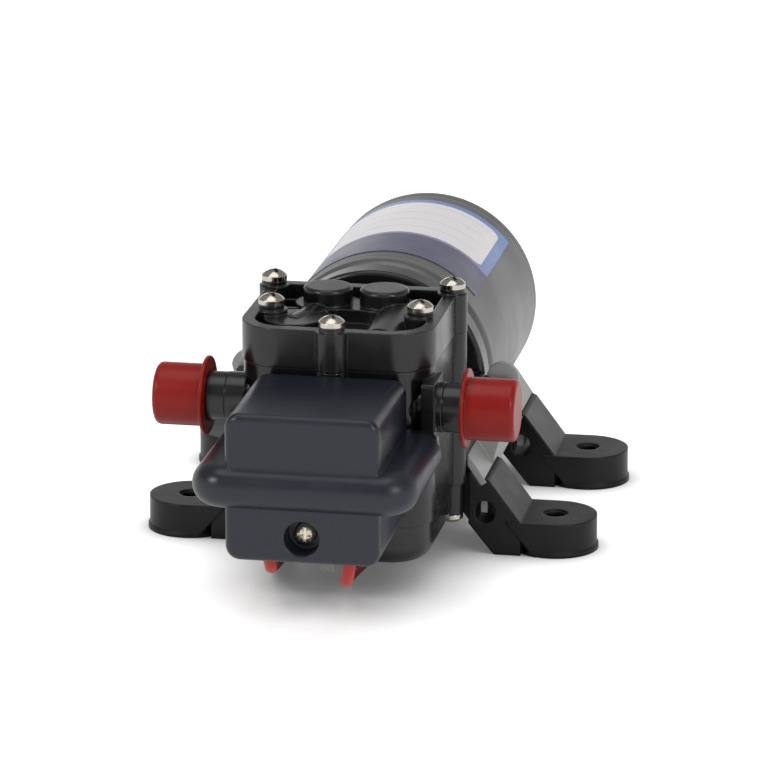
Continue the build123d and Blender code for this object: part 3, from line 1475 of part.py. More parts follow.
with BuildPart() as foot_front_right:
    with BuildSketch(across(arm_width / 2 - foot_y)):
        with BuildLine():
            Polyline(
                beside_cradle(arm_in),
                *foot_under[1:],
                (foot_over[0][0], 0),
                *foot_over,
                beside_cradle(arm_high),
            )
            ThreePointArc(
                beside_cradle(arm_high),
                beside_cradle((arm_high + arm_in) / 2),
                beside_cradle(arm_in),
            )
        make_face()
    extrude(amount=arm_width)
    with BuildSketch(across(flange_round - foot_y)):
        with BuildLine():
            Polyline(
                (flange_joint_high, foot_flange),
                (foot_x, foot_flange),
                (foot_x, 0),
                (flange_joint_low, 0),
                close=True,
            )
        make_face()
    extrude(amount=2 * flange_round)
    with BuildSketch(Plane.XY):
        with Locations((foot_x, -foot_y)):
            Circle(flange_round)
    extrude(amount=foot_flange)
    with BuildSketch(Plane.XY):
        with Locations((foot_x, -foot_y)):
            Circle(foot_end_radius)
    extrude(amount=foot_lip_height)
    with BuildSketch(Plane.XY):
        with Locations((foot_x, -foot_y)):
            Circle(foot_hole)
    extrude(amount=foot_flange, mode=Mode.SUBTRACT)
    with BuildSketch(Plane.XY.offset(foot_flange)):
        with Locations((foot_x, -foot_y)):
            Circle(foot_recess)
    extrude(amount=-foot_recess_depth, mode=Mode.SUBTRACT)
    with BuildSketch(across(foot_end_radius - foot_y)):
        add(wing_section(wing_low, sheet + tab_clear))
    extrude(amount=2 * foot_end_radius, mode=Mode.SUBTRACT)
    with BuildSketch(across(tab_width / 2 + tab_clear / 2 - foot_y)):
        with Locations((tab_x, (tab_low + wing_low[1]) / 2)):
            Rectangle(sheet + tab_clear, wing_low[1] - tab_low + 2 * tab_clear)
    extrude(amount=tab_width + tab_clear, mode=Mode.SUBTRACT)
    with BuildSketch(across(arm_width / 2 - foot_y)):
        with Locations((window_x, window_z)):
            SlotOverall(window_height, 2 * window_radius, rotation=90)
    extrude(amount=arm_width, mode=Mode.SUBTRACT)
    with BuildSketch(across(head_rear + apart, column_x)):
        Rectangle(2 * (column_radius + apart), 2 * axis_height)
    extrude(amount=arm_width, mode=Mode.SUBTRACT)
foot_front_right.part.label = "foot_front_right"
export_step(foot_front_right.part, "parts/foot_front_right.step")

with BuildPart() as foot_front_left:
    mirror(foot_front_right.part, about=Plane.YZ)
foot_front_left.part.label = "foot_front_left"
export_step(foot_front_left.part, "parts/foot_front_left.step")

with BuildPart() as foot_rear_right:
    mirror(foot_front_right.part, about=Plane.XZ)
foot_rear_right.part.label = "foot_rear_right"
export_step(foot_rear_right.part, "parts/foot_rear_right.step")

with BuildPart() as foot_rear_left:
    mirror(foot_rear_right.part, about=Plane.YZ)
foot_rear_left.part.label = "foot_rear_left"
export_step(foot_rear_left.part, "parts/foot_rear_left.step")

# Grommet in the can's underside with one hole for each motor lead.
grommet_x = 2.9
grommet_low = axis_height - can_radius - grommet_proud
with BuildPart() as lead_grommet:
    with BuildSketch(Plane.XY.offset(grommet_low)):
        with Locations((0, grommet_y)):
            SlotOverall(grommet_long + 2 * grommet_lip, grommet_wide + 2 * grommet_lip)
    extrude(amount=grommet_depth)
    with BuildSketch(across(grommet_y + grommet_wide, 0, axis_height)):
        Circle(can_radius + fit)
    extrude(amount=2 * grommet_wide, mode=Mode.SUBTRACT)
    with BuildSketch(Plane.XY.offset(grommet_low + grommet_rim)):
        with Locations((0, grommet_y)):
            SlotOverall(grommet_long - 2 * fit, grommet_wide - 2 * fit)
    extrude(amount=grommet_depth)
    with BuildSketch(Plane.XY.offset(grommet_low)):
        with Locations((-grommet_x, grommet_y), (grommet_x, grommet_y)):
            Circle(lead_radius + slip)
    extrude(amount=2 * grommet_depth, mode=Mode.SUBTRACT)
lead_grommet.part.label = "lead_grommet"
export_step(lead_grommet.part, "parts/lead_grommet.step")


# A lead's centre line: straight runs joined by arcs that use 0.45 of the shorter run.
def lead_route(name, points):
    corners = [Vector(*point) for point in points]
    radii = []
    with BuildLine() as route:
        here = corners[0]
        for before, corner, after in zip(corners, corners[1:], corners[2:]):
            back = before - corner
            ahead = after - corner
            half = math.radians(180 - back.get_angle(ahead)) / 2
            reach = 0.45 * min(back.length, ahead.length)
            bend = reach / math.tan(half)
            middle = (back.normalized() + ahead.normalized()).normalized() * (bend / math.cos(half) - bend)
            arc_start = corner + back.normalized() * reach
            arc_end = corner + ahead.normalized() * reach
            Line(here, arc_start)
            ThreePointArc(arc_start, corner + middle, arc_end)
            here = arc_end
            radii.append(round(bend, 1))
        Line(here, corners[-1])
    print(name, "bend radii", radii)
    return route.wires()[0]


floor_z = lead_radius + floor_gap
lead_top = blades[0][1] - floor_gap
motor_lead_route = lead_route("motor_lead", [
    (blades[0][0], blade_y, lead_top),
    (blades[0][0], blade_y, 18.6),
    (-7.85, -95.8, 15.0),
    (-9.0, -90.4, 13.2),
    (-10.9, -81.8, 10.3),
    (-12.6, -73.4, 7.5),
    (-14.2, -65.0, 4.7),
    (-15.7, -56.0, 2.0),
    (-15.6, -46.0, floor_z),
    (-13.9, -33.0, floor_z),
    (-11.6, -18.0, floor_z),
    (-10.3, -6.0, floor_z),
    (-9.4, 6.0, floor_z),
    (-6.6, 16.4, floor_z),
    (-4.1, 25.6, floor_z),
    (-grommet_x, 35.2, floor_z),
    (-grommet_x, 39.5, 3.9),
    (-grommet_x, grommet_y, 8.2),
    (-grommet_x, grommet_y, 13.0),
])
supply_lead_route = lead_route("supply_lead", [
    (blades[2][0], blade_y, lead_top),
    (blades[2][0], blade_y, 17.9),
    (7.8, -95.8, 12.9),
    (6.6, -90.2, 11.0),
    (4.8, -80.8, 7.8),
    (3.3, -72.8, 5.1),
    (2.0, -65.2, 2.9),
    (1.3, -57.0, floor_z),
    (2.6, -46.5, floor_z),
    (6.2, -34.0, floor_z),
    (10.4, -19.0, floor_z),
    (13.2, -3.0, floor_z),
    (13.4, 12.0, floor_z),
    (8.0, 17.4, floor_z),
    (0.4, 17.3, floor_z),
    (-4.9, 11.9, floor_z),
    (-4.6, -2.0, floor_z),
    (-3.2, -15.0, floor_z),
])
with BuildPart() as motor_lead:
    with BuildSketch(Plane(origin=motor_lead_route @ 0, z_dir=motor_lead_route % 0)):
        Circle(lead_radius)
    sweep(path=motor_lead_route)
motor_lead.part.label = "motor_lead"
export_step(motor_lead.part, "parts/motor_lead.step")

with BuildPart() as supply_lead:
    with BuildSketch(Plane(origin=supply_lead_route @ 0, z_dir=supply_lead_route % 0)):
        Circle(lead_radius)
    sweep(path=supply_lead_route)
supply_lead.part.label = "supply_lead"
export_step(supply_lead.part, "parts/supply_lead.step")

with BuildPart() as supply_lead_tip:
    with BuildSketch(Plane(origin=supply_lead_route @ 1, z_dir=supply_lead_route % 1)):
        Circle(tip_radius)
    extrude(amount=tip_length)
supply_lead_tip.part.label = "supply_lead_tip"
export_step(supply_lead_tip.part, "parts/supply_lead_tip.step")
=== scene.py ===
import json
import math
import bmesh
import bpy
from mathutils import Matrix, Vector


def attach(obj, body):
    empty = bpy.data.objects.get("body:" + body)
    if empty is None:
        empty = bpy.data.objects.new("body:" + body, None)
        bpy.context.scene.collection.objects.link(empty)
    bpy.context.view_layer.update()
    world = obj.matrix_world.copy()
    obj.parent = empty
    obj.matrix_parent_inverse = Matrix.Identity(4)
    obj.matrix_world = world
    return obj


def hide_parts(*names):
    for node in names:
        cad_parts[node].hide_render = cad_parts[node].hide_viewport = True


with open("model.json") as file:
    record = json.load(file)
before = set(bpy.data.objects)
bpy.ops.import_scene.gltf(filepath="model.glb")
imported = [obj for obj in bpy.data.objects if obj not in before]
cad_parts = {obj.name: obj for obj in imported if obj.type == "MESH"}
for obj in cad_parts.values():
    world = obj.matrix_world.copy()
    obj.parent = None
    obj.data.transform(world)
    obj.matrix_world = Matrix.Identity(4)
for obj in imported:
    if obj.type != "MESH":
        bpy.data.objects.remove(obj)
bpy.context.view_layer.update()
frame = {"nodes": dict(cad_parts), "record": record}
nodes = frame["nodes"]
scene = bpy.context.scene
scene.view_settings.view_transform = "Standard"
mm = 0.001

# The camera stands where the photograph was taken from, low and a little to the right.
camera = {"place": (0.1787, -0.9845, 0.3139), "down": 15.97063, "turn": 10.41449,
          "lens": 219.43, "sensor": 36.0, "near": 0.05, "far": 20.0}
cameraData = bpy.data.cameras.new("photoCamera")
cameraData.lens = camera["lens"]
cameraData.sensor_width = camera["sensor"]
cameraData.clip_start = camera["near"]
cameraData.clip_end = camera["far"]
cameraObject = bpy.data.objects.new("photoCamera", cameraData)
cameraObject.location = camera["place"]
cameraObject.rotation_euler = (math.radians(90 - camera["down"]), 0, math.radians(camera["turn"]))
scene.collection.objects.link(cameraObject)
scene.camera = cameraObject
print("camera set")

# Both leads hang from the switch's blades and lie on the floor under the pump.
# The curve's own bevel is 1, and each point's radius gives the wire its thickness.
leads = {"radius": 1.35, "sides": 8, "steps": 16, "motorLength": 0.1568, "supplyLength": 0.1688}
motorLeadRoute = [
    (-8.0, -98.1, 22.25), (-8.0, -98.1, 18.6), (-7.85, -95.8, 15.0), (-9.0, -90.4, 13.2),
    (-10.9, -81.8, 10.3), (-12.6, -73.4, 7.5), (-14.2, -65.0, 4.7), (-15.7, -56.0, 2.0),
    (-15.6, -46.0, 1.4), (-13.9, -33.0, 1.4), (-11.6, -18.0, 1.4), (-10.3, -6.0, 1.4),
    (-9.4, 6.0, 1.4), (-6.6, 16.4, 1.4), (-4.1, 25.6, 1.4), (-2.9, 35.2, 1.4),
    (-2.9, 39.5, 3.9), (-2.9, 42.0, 8.2), (-2.9, 42.0, 13.0),
]
supplyLeadRoute = [
    (9.0, -98.1, 22.25), (9.0, -98.1, 17.9), (7.8, -95.8, 12.9), (6.6, -90.2, 11.0),
    (4.8, -80.8, 7.8), (3.3, -72.8, 5.1), (2.0, -65.2, 2.9), (1.3, -57.0, 1.4),
    (2.6, -46.5, 1.4), (6.2, -34.0, 1.4), (10.4, -19.0, 1.4), (13.2, -3.0, 1.4),
    (13.4, 12.0, 1.4), (8.0, 17.4, 1.4), (0.4, 17.3, 1.4), (-4.9, 11.9, 1.4),
    (-4.6, -2.0, 1.4), (-3.2, -15.0, 1.4),
]


def leadCurve(name, route):
    curve = bpy.data.curves.new(name, "CURVE")
    curve.dimensions = "3D"
    curve.bevel_depth = 1.0
    curve.bevel_resolution = leads["sides"]
    curve.use_fill_caps = True
    spline = curve.splines.new("NURBS")
    spline.points.add(len(route) - 1)
    for point, place in zip(spline.points, route):
        point.co = (place[0] * mm, place[1] * mm, place[2] * mm, 1.0)
        point.radius = leads["radius"] * mm
    spline.order_u = 3
    spline.use_endpoint_u = True
    spline.resolution_u = leads["steps"]
    lead = bpy.data.objects.new(name, curve)
    scene.collection.objects.link(lead)
    return lead


motorLead = leadCurve("motorLeadWire", motorLeadRoute)
supplyLead = leadCurve("supplyLeadWire", supplyLeadRoute)
for lead, node in ((motorLead, "motor_lead"), (supplyLead, "supply_lead")):
    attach(lead, "pump")
    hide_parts(node)
print("leads laid")


# Short ways to set up shader nodes.
def plug(tree, given, socket):
    if given is None:
        return
    if isinstance(given, (int, float, tuple, list)):
        socket.default_value = given
    else:
        tree.links.new(given, socket)


def maths(tree, operation, first, second=None, third=None, clamp=False):
    node = tree.nodes.new("ShaderNodeMath")
    node.operation = operation
    node.use_clamp = clamp
    for socket, given in zip(node.inputs, (first, second, third)):
        plug(tree, given, socket)
    return node.outputs[0]


def ranged(tree, value, low, high, toLow=0.0, toHigh=1.0):
    node = tree.nodes.new("ShaderNodeMapRange")
    for socket, given in zip(node.inputs, (value, low, high, toLow, toHigh)):
        plug(tree, given, socket)
    return node.outputs[0]


def mixed(tree, factor, first, second):
    node = tree.nodes.new("ShaderNodeMix")
    node.data_type = "RGBA"
    plug(tree, factor, node.inputs[0])
    plug(tree, first, node.inputs[6])
    plug(tree, second, node.inputs[7])
    return node.outputs[2]


def noise(tree, place, scale, detail, roughness):
    node = tree.nodes.new("ShaderNodeTexNoise")
    tree.links.new(place, node.inputs["Vector"])
    plug(tree, scale, node.inputs["Scale"])
    plug(tree, detail, node.inputs["Detail"])
    plug(tree, roughness, node.inputs["Roughness"])
    return node.outputs["Fac"]


def objectPlace(tree):
    return tree.nodes.new("ShaderNodeTexCoord").outputs["Object"]


def colourOf(values):
    return (values[0], values[1], values[2], 1.0)


def newGroup(name, inputs, outputs):
    tree = bpy.data.node_groups.new(name, "ShaderNodeTree")
    for label, kind, start in inputs:
        socket = tree.interface.new_socket(name=label, in_out="INPUT", socket_type=kind)
        socket.default_value = start
    for label, kind in outputs:
        tree.interface.new_socket(name=label, in_out="OUTPUT", socket_type=kind)
    return tree, tree.nodes.new("NodeGroupInput"), tree.nodes.new("NodeGroupOutput")


feel = {"bevelSamples": 6, "edgeFrom": 0.02, "edgeTo": 0.25}


# Surface of any piece: rounded edges, fine grain, slow waviness and extra relief in metres.
def surfaceGroup():
    tree, given, result = newGroup("surfaceFeel", [
        ("Grain Scale", "NodeSocketFloat", 2500.0), ("Grain Depth", "NodeSocketFloat", 0.00001),
        ("Wave Scale", "NodeSocketFloat", 90.0), ("Wave Depth", "NodeSocketFloat", 0.00002),
        ("Edge Radius", "NodeSocketFloat", 0.0004), ("Relief", "NodeSocketFloat", 0.0),
    ], [("Normal", "NodeSocketVector"), ("Edge", "NodeSocketFloat"), ("Grain", "NodeSocketFloat")])
    place = objectPlace(tree)
    bevel = tree.nodes.new("ShaderNodeBevel")
    bevel.samples = feel["bevelSamples"]
    tree.links.new(given.outputs["Edge Radius"], bevel.inputs["Radius"])
    face = tree.nodes.new("ShaderNodeNewGeometry").outputs["Normal"]
    dot = tree.nodes.new("ShaderNodeVectorMath")
    dot.operation = "DOT_PRODUCT"
    tree.links.new(bevel.outputs[0], dot.inputs[0])
    tree.links.new(face, dot.inputs[1])
    edge = ranged(tree, maths(tree, "SUBTRACT", 1.0, dot.outputs["Value"]), feel["edgeFrom"], feel["edgeTo"])
    grain = noise(tree, place, given.outputs["Grain Scale"], 4.0, 0.6)
    wave = noise(tree, place, given.outputs["Wave Scale"], 2.0, 0.5)
    height = maths(tree, "MULTIPLY", grain, given.outputs["Grain Depth"])
    height = maths(tree, "MULTIPLY_ADD", wave, given.outputs["Wave Depth"], height)
    height = maths(tree, "ADD", height, given.outputs["Relief"])
    bump = tree.nodes.new("ShaderNodeBump")
    bump.inputs["Strength"].default_value = 1.0
    bump.inputs["Distance"].default_value = 1.0
    tree.links.new(height, bump.inputs["Height"])
    tree.links.new(bevel.outputs[0], bump.inputs["Normal"])
    tree.links.new(bump.outputs[0], result.inputs["Normal"])
    tree.links.new(edge, result.inputs["Edge"])
    tree.links.new(grain, result.inputs["Grain"])
    return tree


dustAndTopLightLook = {"colour": (0.45, 0.43, 0.4), "tilt": 0.2, "patchFrom": 0.4, "patchTo": 0.75, "speckScale": 5200.0,
            "speckFrom": 0.62, "speckTo": 0.72, "speckShare": 0.6, "roughen": 0.5}


# Dust that settles on what faces up, in soft patches; on the feet its larger amount is painted top light that
# lightens their upper faces.
def makeDustAndTopLight():
    tree, given, result = newGroup("dustAndTopLightTree", [
        ("Amount", "NodeSocketFloat", 0.1), ("Patch Scale", "NodeSocketFloat", 60.0),
    ], [("Mask", "NodeSocketFloat")])
    place = objectPlace(tree)
    split = tree.nodes.new("ShaderNodeSeparateXYZ")
    tree.links.new(tree.nodes.new("ShaderNodeNewGeometry").outputs["Normal"], split.inputs[0])
    up = ranged(tree, split.outputs["Z"], dustAndTopLightLook["tilt"], 1.0)
    patches = ranged(tree, noise(tree, place, given.outputs["Patch Scale"], 6.0, 0.7),
                     dustAndTopLightLook["patchFrom"], dustAndTopLightLook["patchTo"])
    specks = ranged(tree, noise(tree, place, dustAndTopLightLook["speckScale"], 2.0, 0.5),
                    dustAndTopLightLook["speckFrom"], dustAndTopLightLook["speckTo"])
    both = maths(tree, "MULTIPLY_ADD", specks, dustAndTopLightLook["speckShare"], patches)
    mask = maths(tree, "MULTIPLY", maths(tree, "MULTIPLY", up, both), given.outputs["Amount"], clamp=True)
    tree.links.new(mask, result.inputs["Mask"])
    return tree


# Fine lines left by drawing, turning or brushing, along the axis with the smallest stretch.
def streakGroup():
    tree, given, result = newGroup("toolLines", [
        ("Stretch", "NodeSocketVector", (1.0, 1.0, 1.0)), ("Scale", "NodeSocketFloat", 2600.0),
    ], [("Lines", "NodeSocketFloat")])
    scaled = tree.nodes.new("ShaderNodeVectorMath")
    scaled.operation = "MULTIPLY"
    tree.links.new(objectPlace(tree), scaled.inputs[0])
    tree.links.new(given.outputs["Stretch"], scaled.inputs[1])
    lines = noise(tree, scaled.outputs[0], given.outputs["Scale"], 3.0, 0.6)
    tree.links.new(lines, result.inputs["Lines"])
    return tree


surfaceFeel = surfaceGroup()
dustAndTopLightTree = makeDustAndTopLight()
toolLines = streakGroup()


def useGroup(tree, group, **values):
    node = tree.nodes.new("ShaderNodeGroup")
    node.node_tree = group
    for label, given in values.items():
        plug(tree, given, node.inputs[label.replace("_", " ")])
    return node


def newMaterial(name):
    material = bpy.data.materials.new(name)
    material.use_nodes = True
    tree = material.node_tree
    return material, tree, tree.nodes["Principled BSDF"]


# What a finish has where it gives no value of its own; relief and lines are in metres.
plainLook = dict(grainScale=2500.0, grainDepth=0.000008, waveScale=90.0, waveDepth=0.00003, edgeRadius=0.0004,
                 edgeAmount=0.2, nickScale=700.0, patchScale=55.0, speckle=0.1, roughnessVary=0.08,
                 lineStretch=(1.0, 1.0, 1.0), lineScale=2600.0, lineDepth=0.0, lineRough=0.0, dustAndTopLight=0.06,
                 dustAndTopLightScale=70.0, metallic=0.0, specular=0.4, coat=0.0, coatRoughness=0.2, glow=0.0)
nicks = {"from": 0.38, "to": 0.62, "least": 0.25}
patchRange = (0.3, 0.7)
glowRadius = (0.0015, 0.0004, 0.0003)


# One recipe for moulded, painted, rubber and metal pieces; each finish gives its own values.
def finish(name, values, relief=None, paint=None):
    look = {"speckleColour": values["tint"], "edgeColour": values["tint"], **plainLook, **values}
    material, tree, shader = newMaterial(name)
    place = objectPlace(tree)
    lines = useGroup(tree, toolLines, Stretch=look["lineStretch"], Scale=look["lineScale"]).outputs["Lines"]
    lineRelief = maths(tree, "MULTIPLY", lines, look["lineDepth"])
    total = maths(tree, "ADD", lineRelief, relief(tree) if relief else 0.0)
    surface = useGroup(tree, surfaceFeel, Grain_Scale=look["grainScale"], Grain_Depth=look["grainDepth"],
                       Wave_Scale=look["waveScale"], Wave_Depth=look["waveDepth"],
                       Edge_Radius=look["edgeRadius"], Relief=total)
    patches = noise(tree, place, look["patchScale"], 4.0, 0.6)
    colour = mixed(tree, ranged(tree, patches, *patchRange), colourOf(look["colour"]), colourOf(look["tint"]))
    if paint:
        colour = paint(tree, colour)
    grainShade = ranged(tree, surface.outputs["Grain"], *patchRange, 0.0, look["speckle"])
    colour = mixed(tree, grainShade, colour, colourOf(look["speckleColour"]))
    # Lighter colour along edges: wear on most finishes, and a painted glint on the tinned blades.
    broken = ranged(tree, noise(tree, place, look["nickScale"], 4.0, 0.7), nicks["from"], nicks["to"],
                    nicks["least"], 1.0)
    edgeWearAndGlint = maths(tree, "MULTIPLY", surface.outputs["Edge"], broken)
    edgeWearAndGlint = maths(tree, "MULTIPLY", edgeWearAndGlint, look["edgeAmount"])
    colour = mixed(tree, edgeWearAndGlint, colour, colourOf(look["edgeColour"]))
    # Grey on faces that point up: settled dust, and painted top light on the feet.
    dustAndTopLight = useGroup(tree, dustAndTopLightTree, Amount=look["dustAndTopLight"], Patch_Scale=look["dustAndTopLightScale"]).outputs["Mask"]
    colour = mixed(tree, dustAndTopLight, colour, colourOf(dustAndTopLightLook["colour"]))
    tree.links.new(colour, shader.inputs["Base Color"])
    vary = look["roughnessVary"]
    rough = ranged(tree, patches, *patchRange, look["roughness"] - vary, look["roughness"] + vary)
    rough = maths(tree, "MULTIPLY_ADD", lines, look["lineRough"], rough)
    rough = maths(tree, "ADD", rough, maths(tree, "MULTIPLY", dustAndTopLight, dustAndTopLightLook["roughen"]), clamp=True)
    tree.links.new(rough, shader.inputs["Roughness"])
    tree.links.new(surface.outputs["Normal"], shader.inputs["Normal"])
    shader.inputs["Metallic"].default_value = look["metallic"]
    shader.inputs["Specular IOR Level"].default_value = look["specular"]
    shader.inputs["Coat Weight"].default_value = look["coat"]
    shader.inputs["Coat Roughness"].default_value = look["coatRoughness"]
    if look["glow"]:
        shader.inputs["Subsurface Weight"].default_value = look["glow"]
        shader.inputs["Subsurface Radius"].default_value = glowRadius
        shader.inputs["Subsurface Scale"].default_value = 1.0
    return material


# Distance to a rounded rectangle drawn on two coordinates, negative inside.
def panelDistance(tree, across, along, middle, half, corner):
    sideways = maths(tree, "SUBTRACT", maths(tree, "ABSOLUTE", maths(tree, "SUBTRACT", across, middle[0])),
                     half[0] - corner)
    lengthways = maths(tree, "SUBTRACT", maths(tree, "ABSOLUTE", maths(tree, "SUBTRACT", along, middle[1])),
                       half[1] - corner)
    outX = maths(tree, "MAXIMUM", sideways, 0.0)
    outY = maths(tree, "MAXIMUM", lengthways, 0.0)
    reach = maths(tree, "SQRT", maths(tree, "ADD", maths(tree, "MULTIPLY", outX, outX),
                                      maths(tree, "MULTIPLY", outY, outY)))
    inner = maths(tree, "MINIMUM", maths(tree, "MAXIMUM", sideways, lengthways), 0.0)
    return maths(tree, "SUBTRACT", maths(tree, "ADD", reach, inner), corner)


def splitPlace(tree):
    split = tree.nodes.new("ShaderNodeSeparateXYZ")
    tree.links.new(objectPlace(tree), split.inputs[0])
    return split.outputs["X"], split.outputs["Y"], split.outputs["Z"]


# Printed film: dark band, thin line, white panel with blank ruled rows, blue border.
film = {"axis": 34.6 * mm, "radius": 24.8 * mm, "bandRear": 10.6 * mm,
        "panelFront": 12.0 * mm, "panelRear": 39.6 * mm, "panelHalf": 19.5 * mm, "panelCorner": 2.2 * mm,
        "rowPitch": 3.1 * mm, "rowLine": 0.16 * mm, "rowShade": 0.6,
        "lineMiddle": 10.95 * mm, "lineHalf": 0.3 * mm, "panelBlur": 0.05 * mm,
        "fieldFrom": -2.4 * mm, "fieldTo": -2.3 * mm,
        "band": (0.035, 0.035, 0.10), "line": (0.34, 0.15, 0.2), "border": (0.10, 0.19, 0.48),
        "panel": (0.76, 0.74, 0.74), "rows": (0.42, 0.42, 0.47)}


def filmPaint(tree, ground):
    x, y, z = splitPlace(tree)
    angle = maths(tree, "ARCTAN2", x, maths(tree, "SUBTRACT", z, film["axis"]))
    around = maths(tree, "MULTIPLY", angle, film["radius"])
    colour = mixed(tree, maths(tree, "GREATER_THAN", y, film["bandRear"]), colourOf(film["band"]),
                   colourOf(film["border"]))
    nearLine = maths(tree, "COMPARE", y, film["lineMiddle"], film["lineHalf"])
    colour = mixed(tree, nearLine, colour, colourOf(film["line"]))
    middle = (film["panelFront"] + film["panelRear"]) / 2
    halfLong = (film["panelRear"] - film["panelFront"]) / 2
    distance = panelDistance(tree, around, y, (0.0, middle), (film["panelHalf"], halfLong),
                             film["panelCorner"])
    onPanel = ranged(tree, distance, -film["panelBlur"], film["panelBlur"], 1.0, 0.0)
    colour = mixed(tree, onPanel, colour, colourOf(film["panel"]))
    row = maths(tree, "PINGPONG", maths(tree, "SUBTRACT", y, film["panelFront"]), film["rowPitch"])
    onRow = maths(tree, "LESS_THAN", row, film["rowLine"])
    field = ranged(tree, distance, film["fieldFrom"], film["fieldTo"], 1.0, 0.0)
    rows = maths(tree, "MULTIPLY", maths(tree, "MULTIPLY", onRow, field), film["rowShade"])
    return mixed(tree, rows, colour, colourOf(film["rows"]))


# Laminations and wound wire: fine bands across the rotor's axis.
bands = {"core": (0.25 * mm, 0.06 * mm, 0.03 * mm), "wire": (0.22 * mm, 0.22 * mm, 0.12 * mm)}


def bandsAlongY(pitch, width, depth):
    def relief(tree):
        x, y, z = splitPlace(tree)
        saw = maths(tree, "PINGPONG", y, pitch)
        return ranged(tree, saw, 0.0, width, -depth, 0.0)
    return relief


# Can: a faint drawing step behind the front edge and a rolled groove before the rear edge.
canMarks = {"front": -9.6 * mm, "frontHalf": 0.5 * mm, "frontDepth": 0.05 * mm,
            "rear": 46.8 * mm, "rearHalf": 0.7 * mm, "rearDepth": 0.12 * mm}


def canRelief(tree):
    x, y, z = splitPlace(tree)
    sunk = []
    for mark in ("front", "rear"):
        away = maths(tree, "ABSOLUTE", maths(tree, "SUBTRACT", y, canMarks[mark]))
        sunk.append(ranged(tree, away, 0.0, canMarks[mark + "Half"], -canMarks[mark + "Depth"], 0.0))
    return maths(tree, "ADD", *sunk)


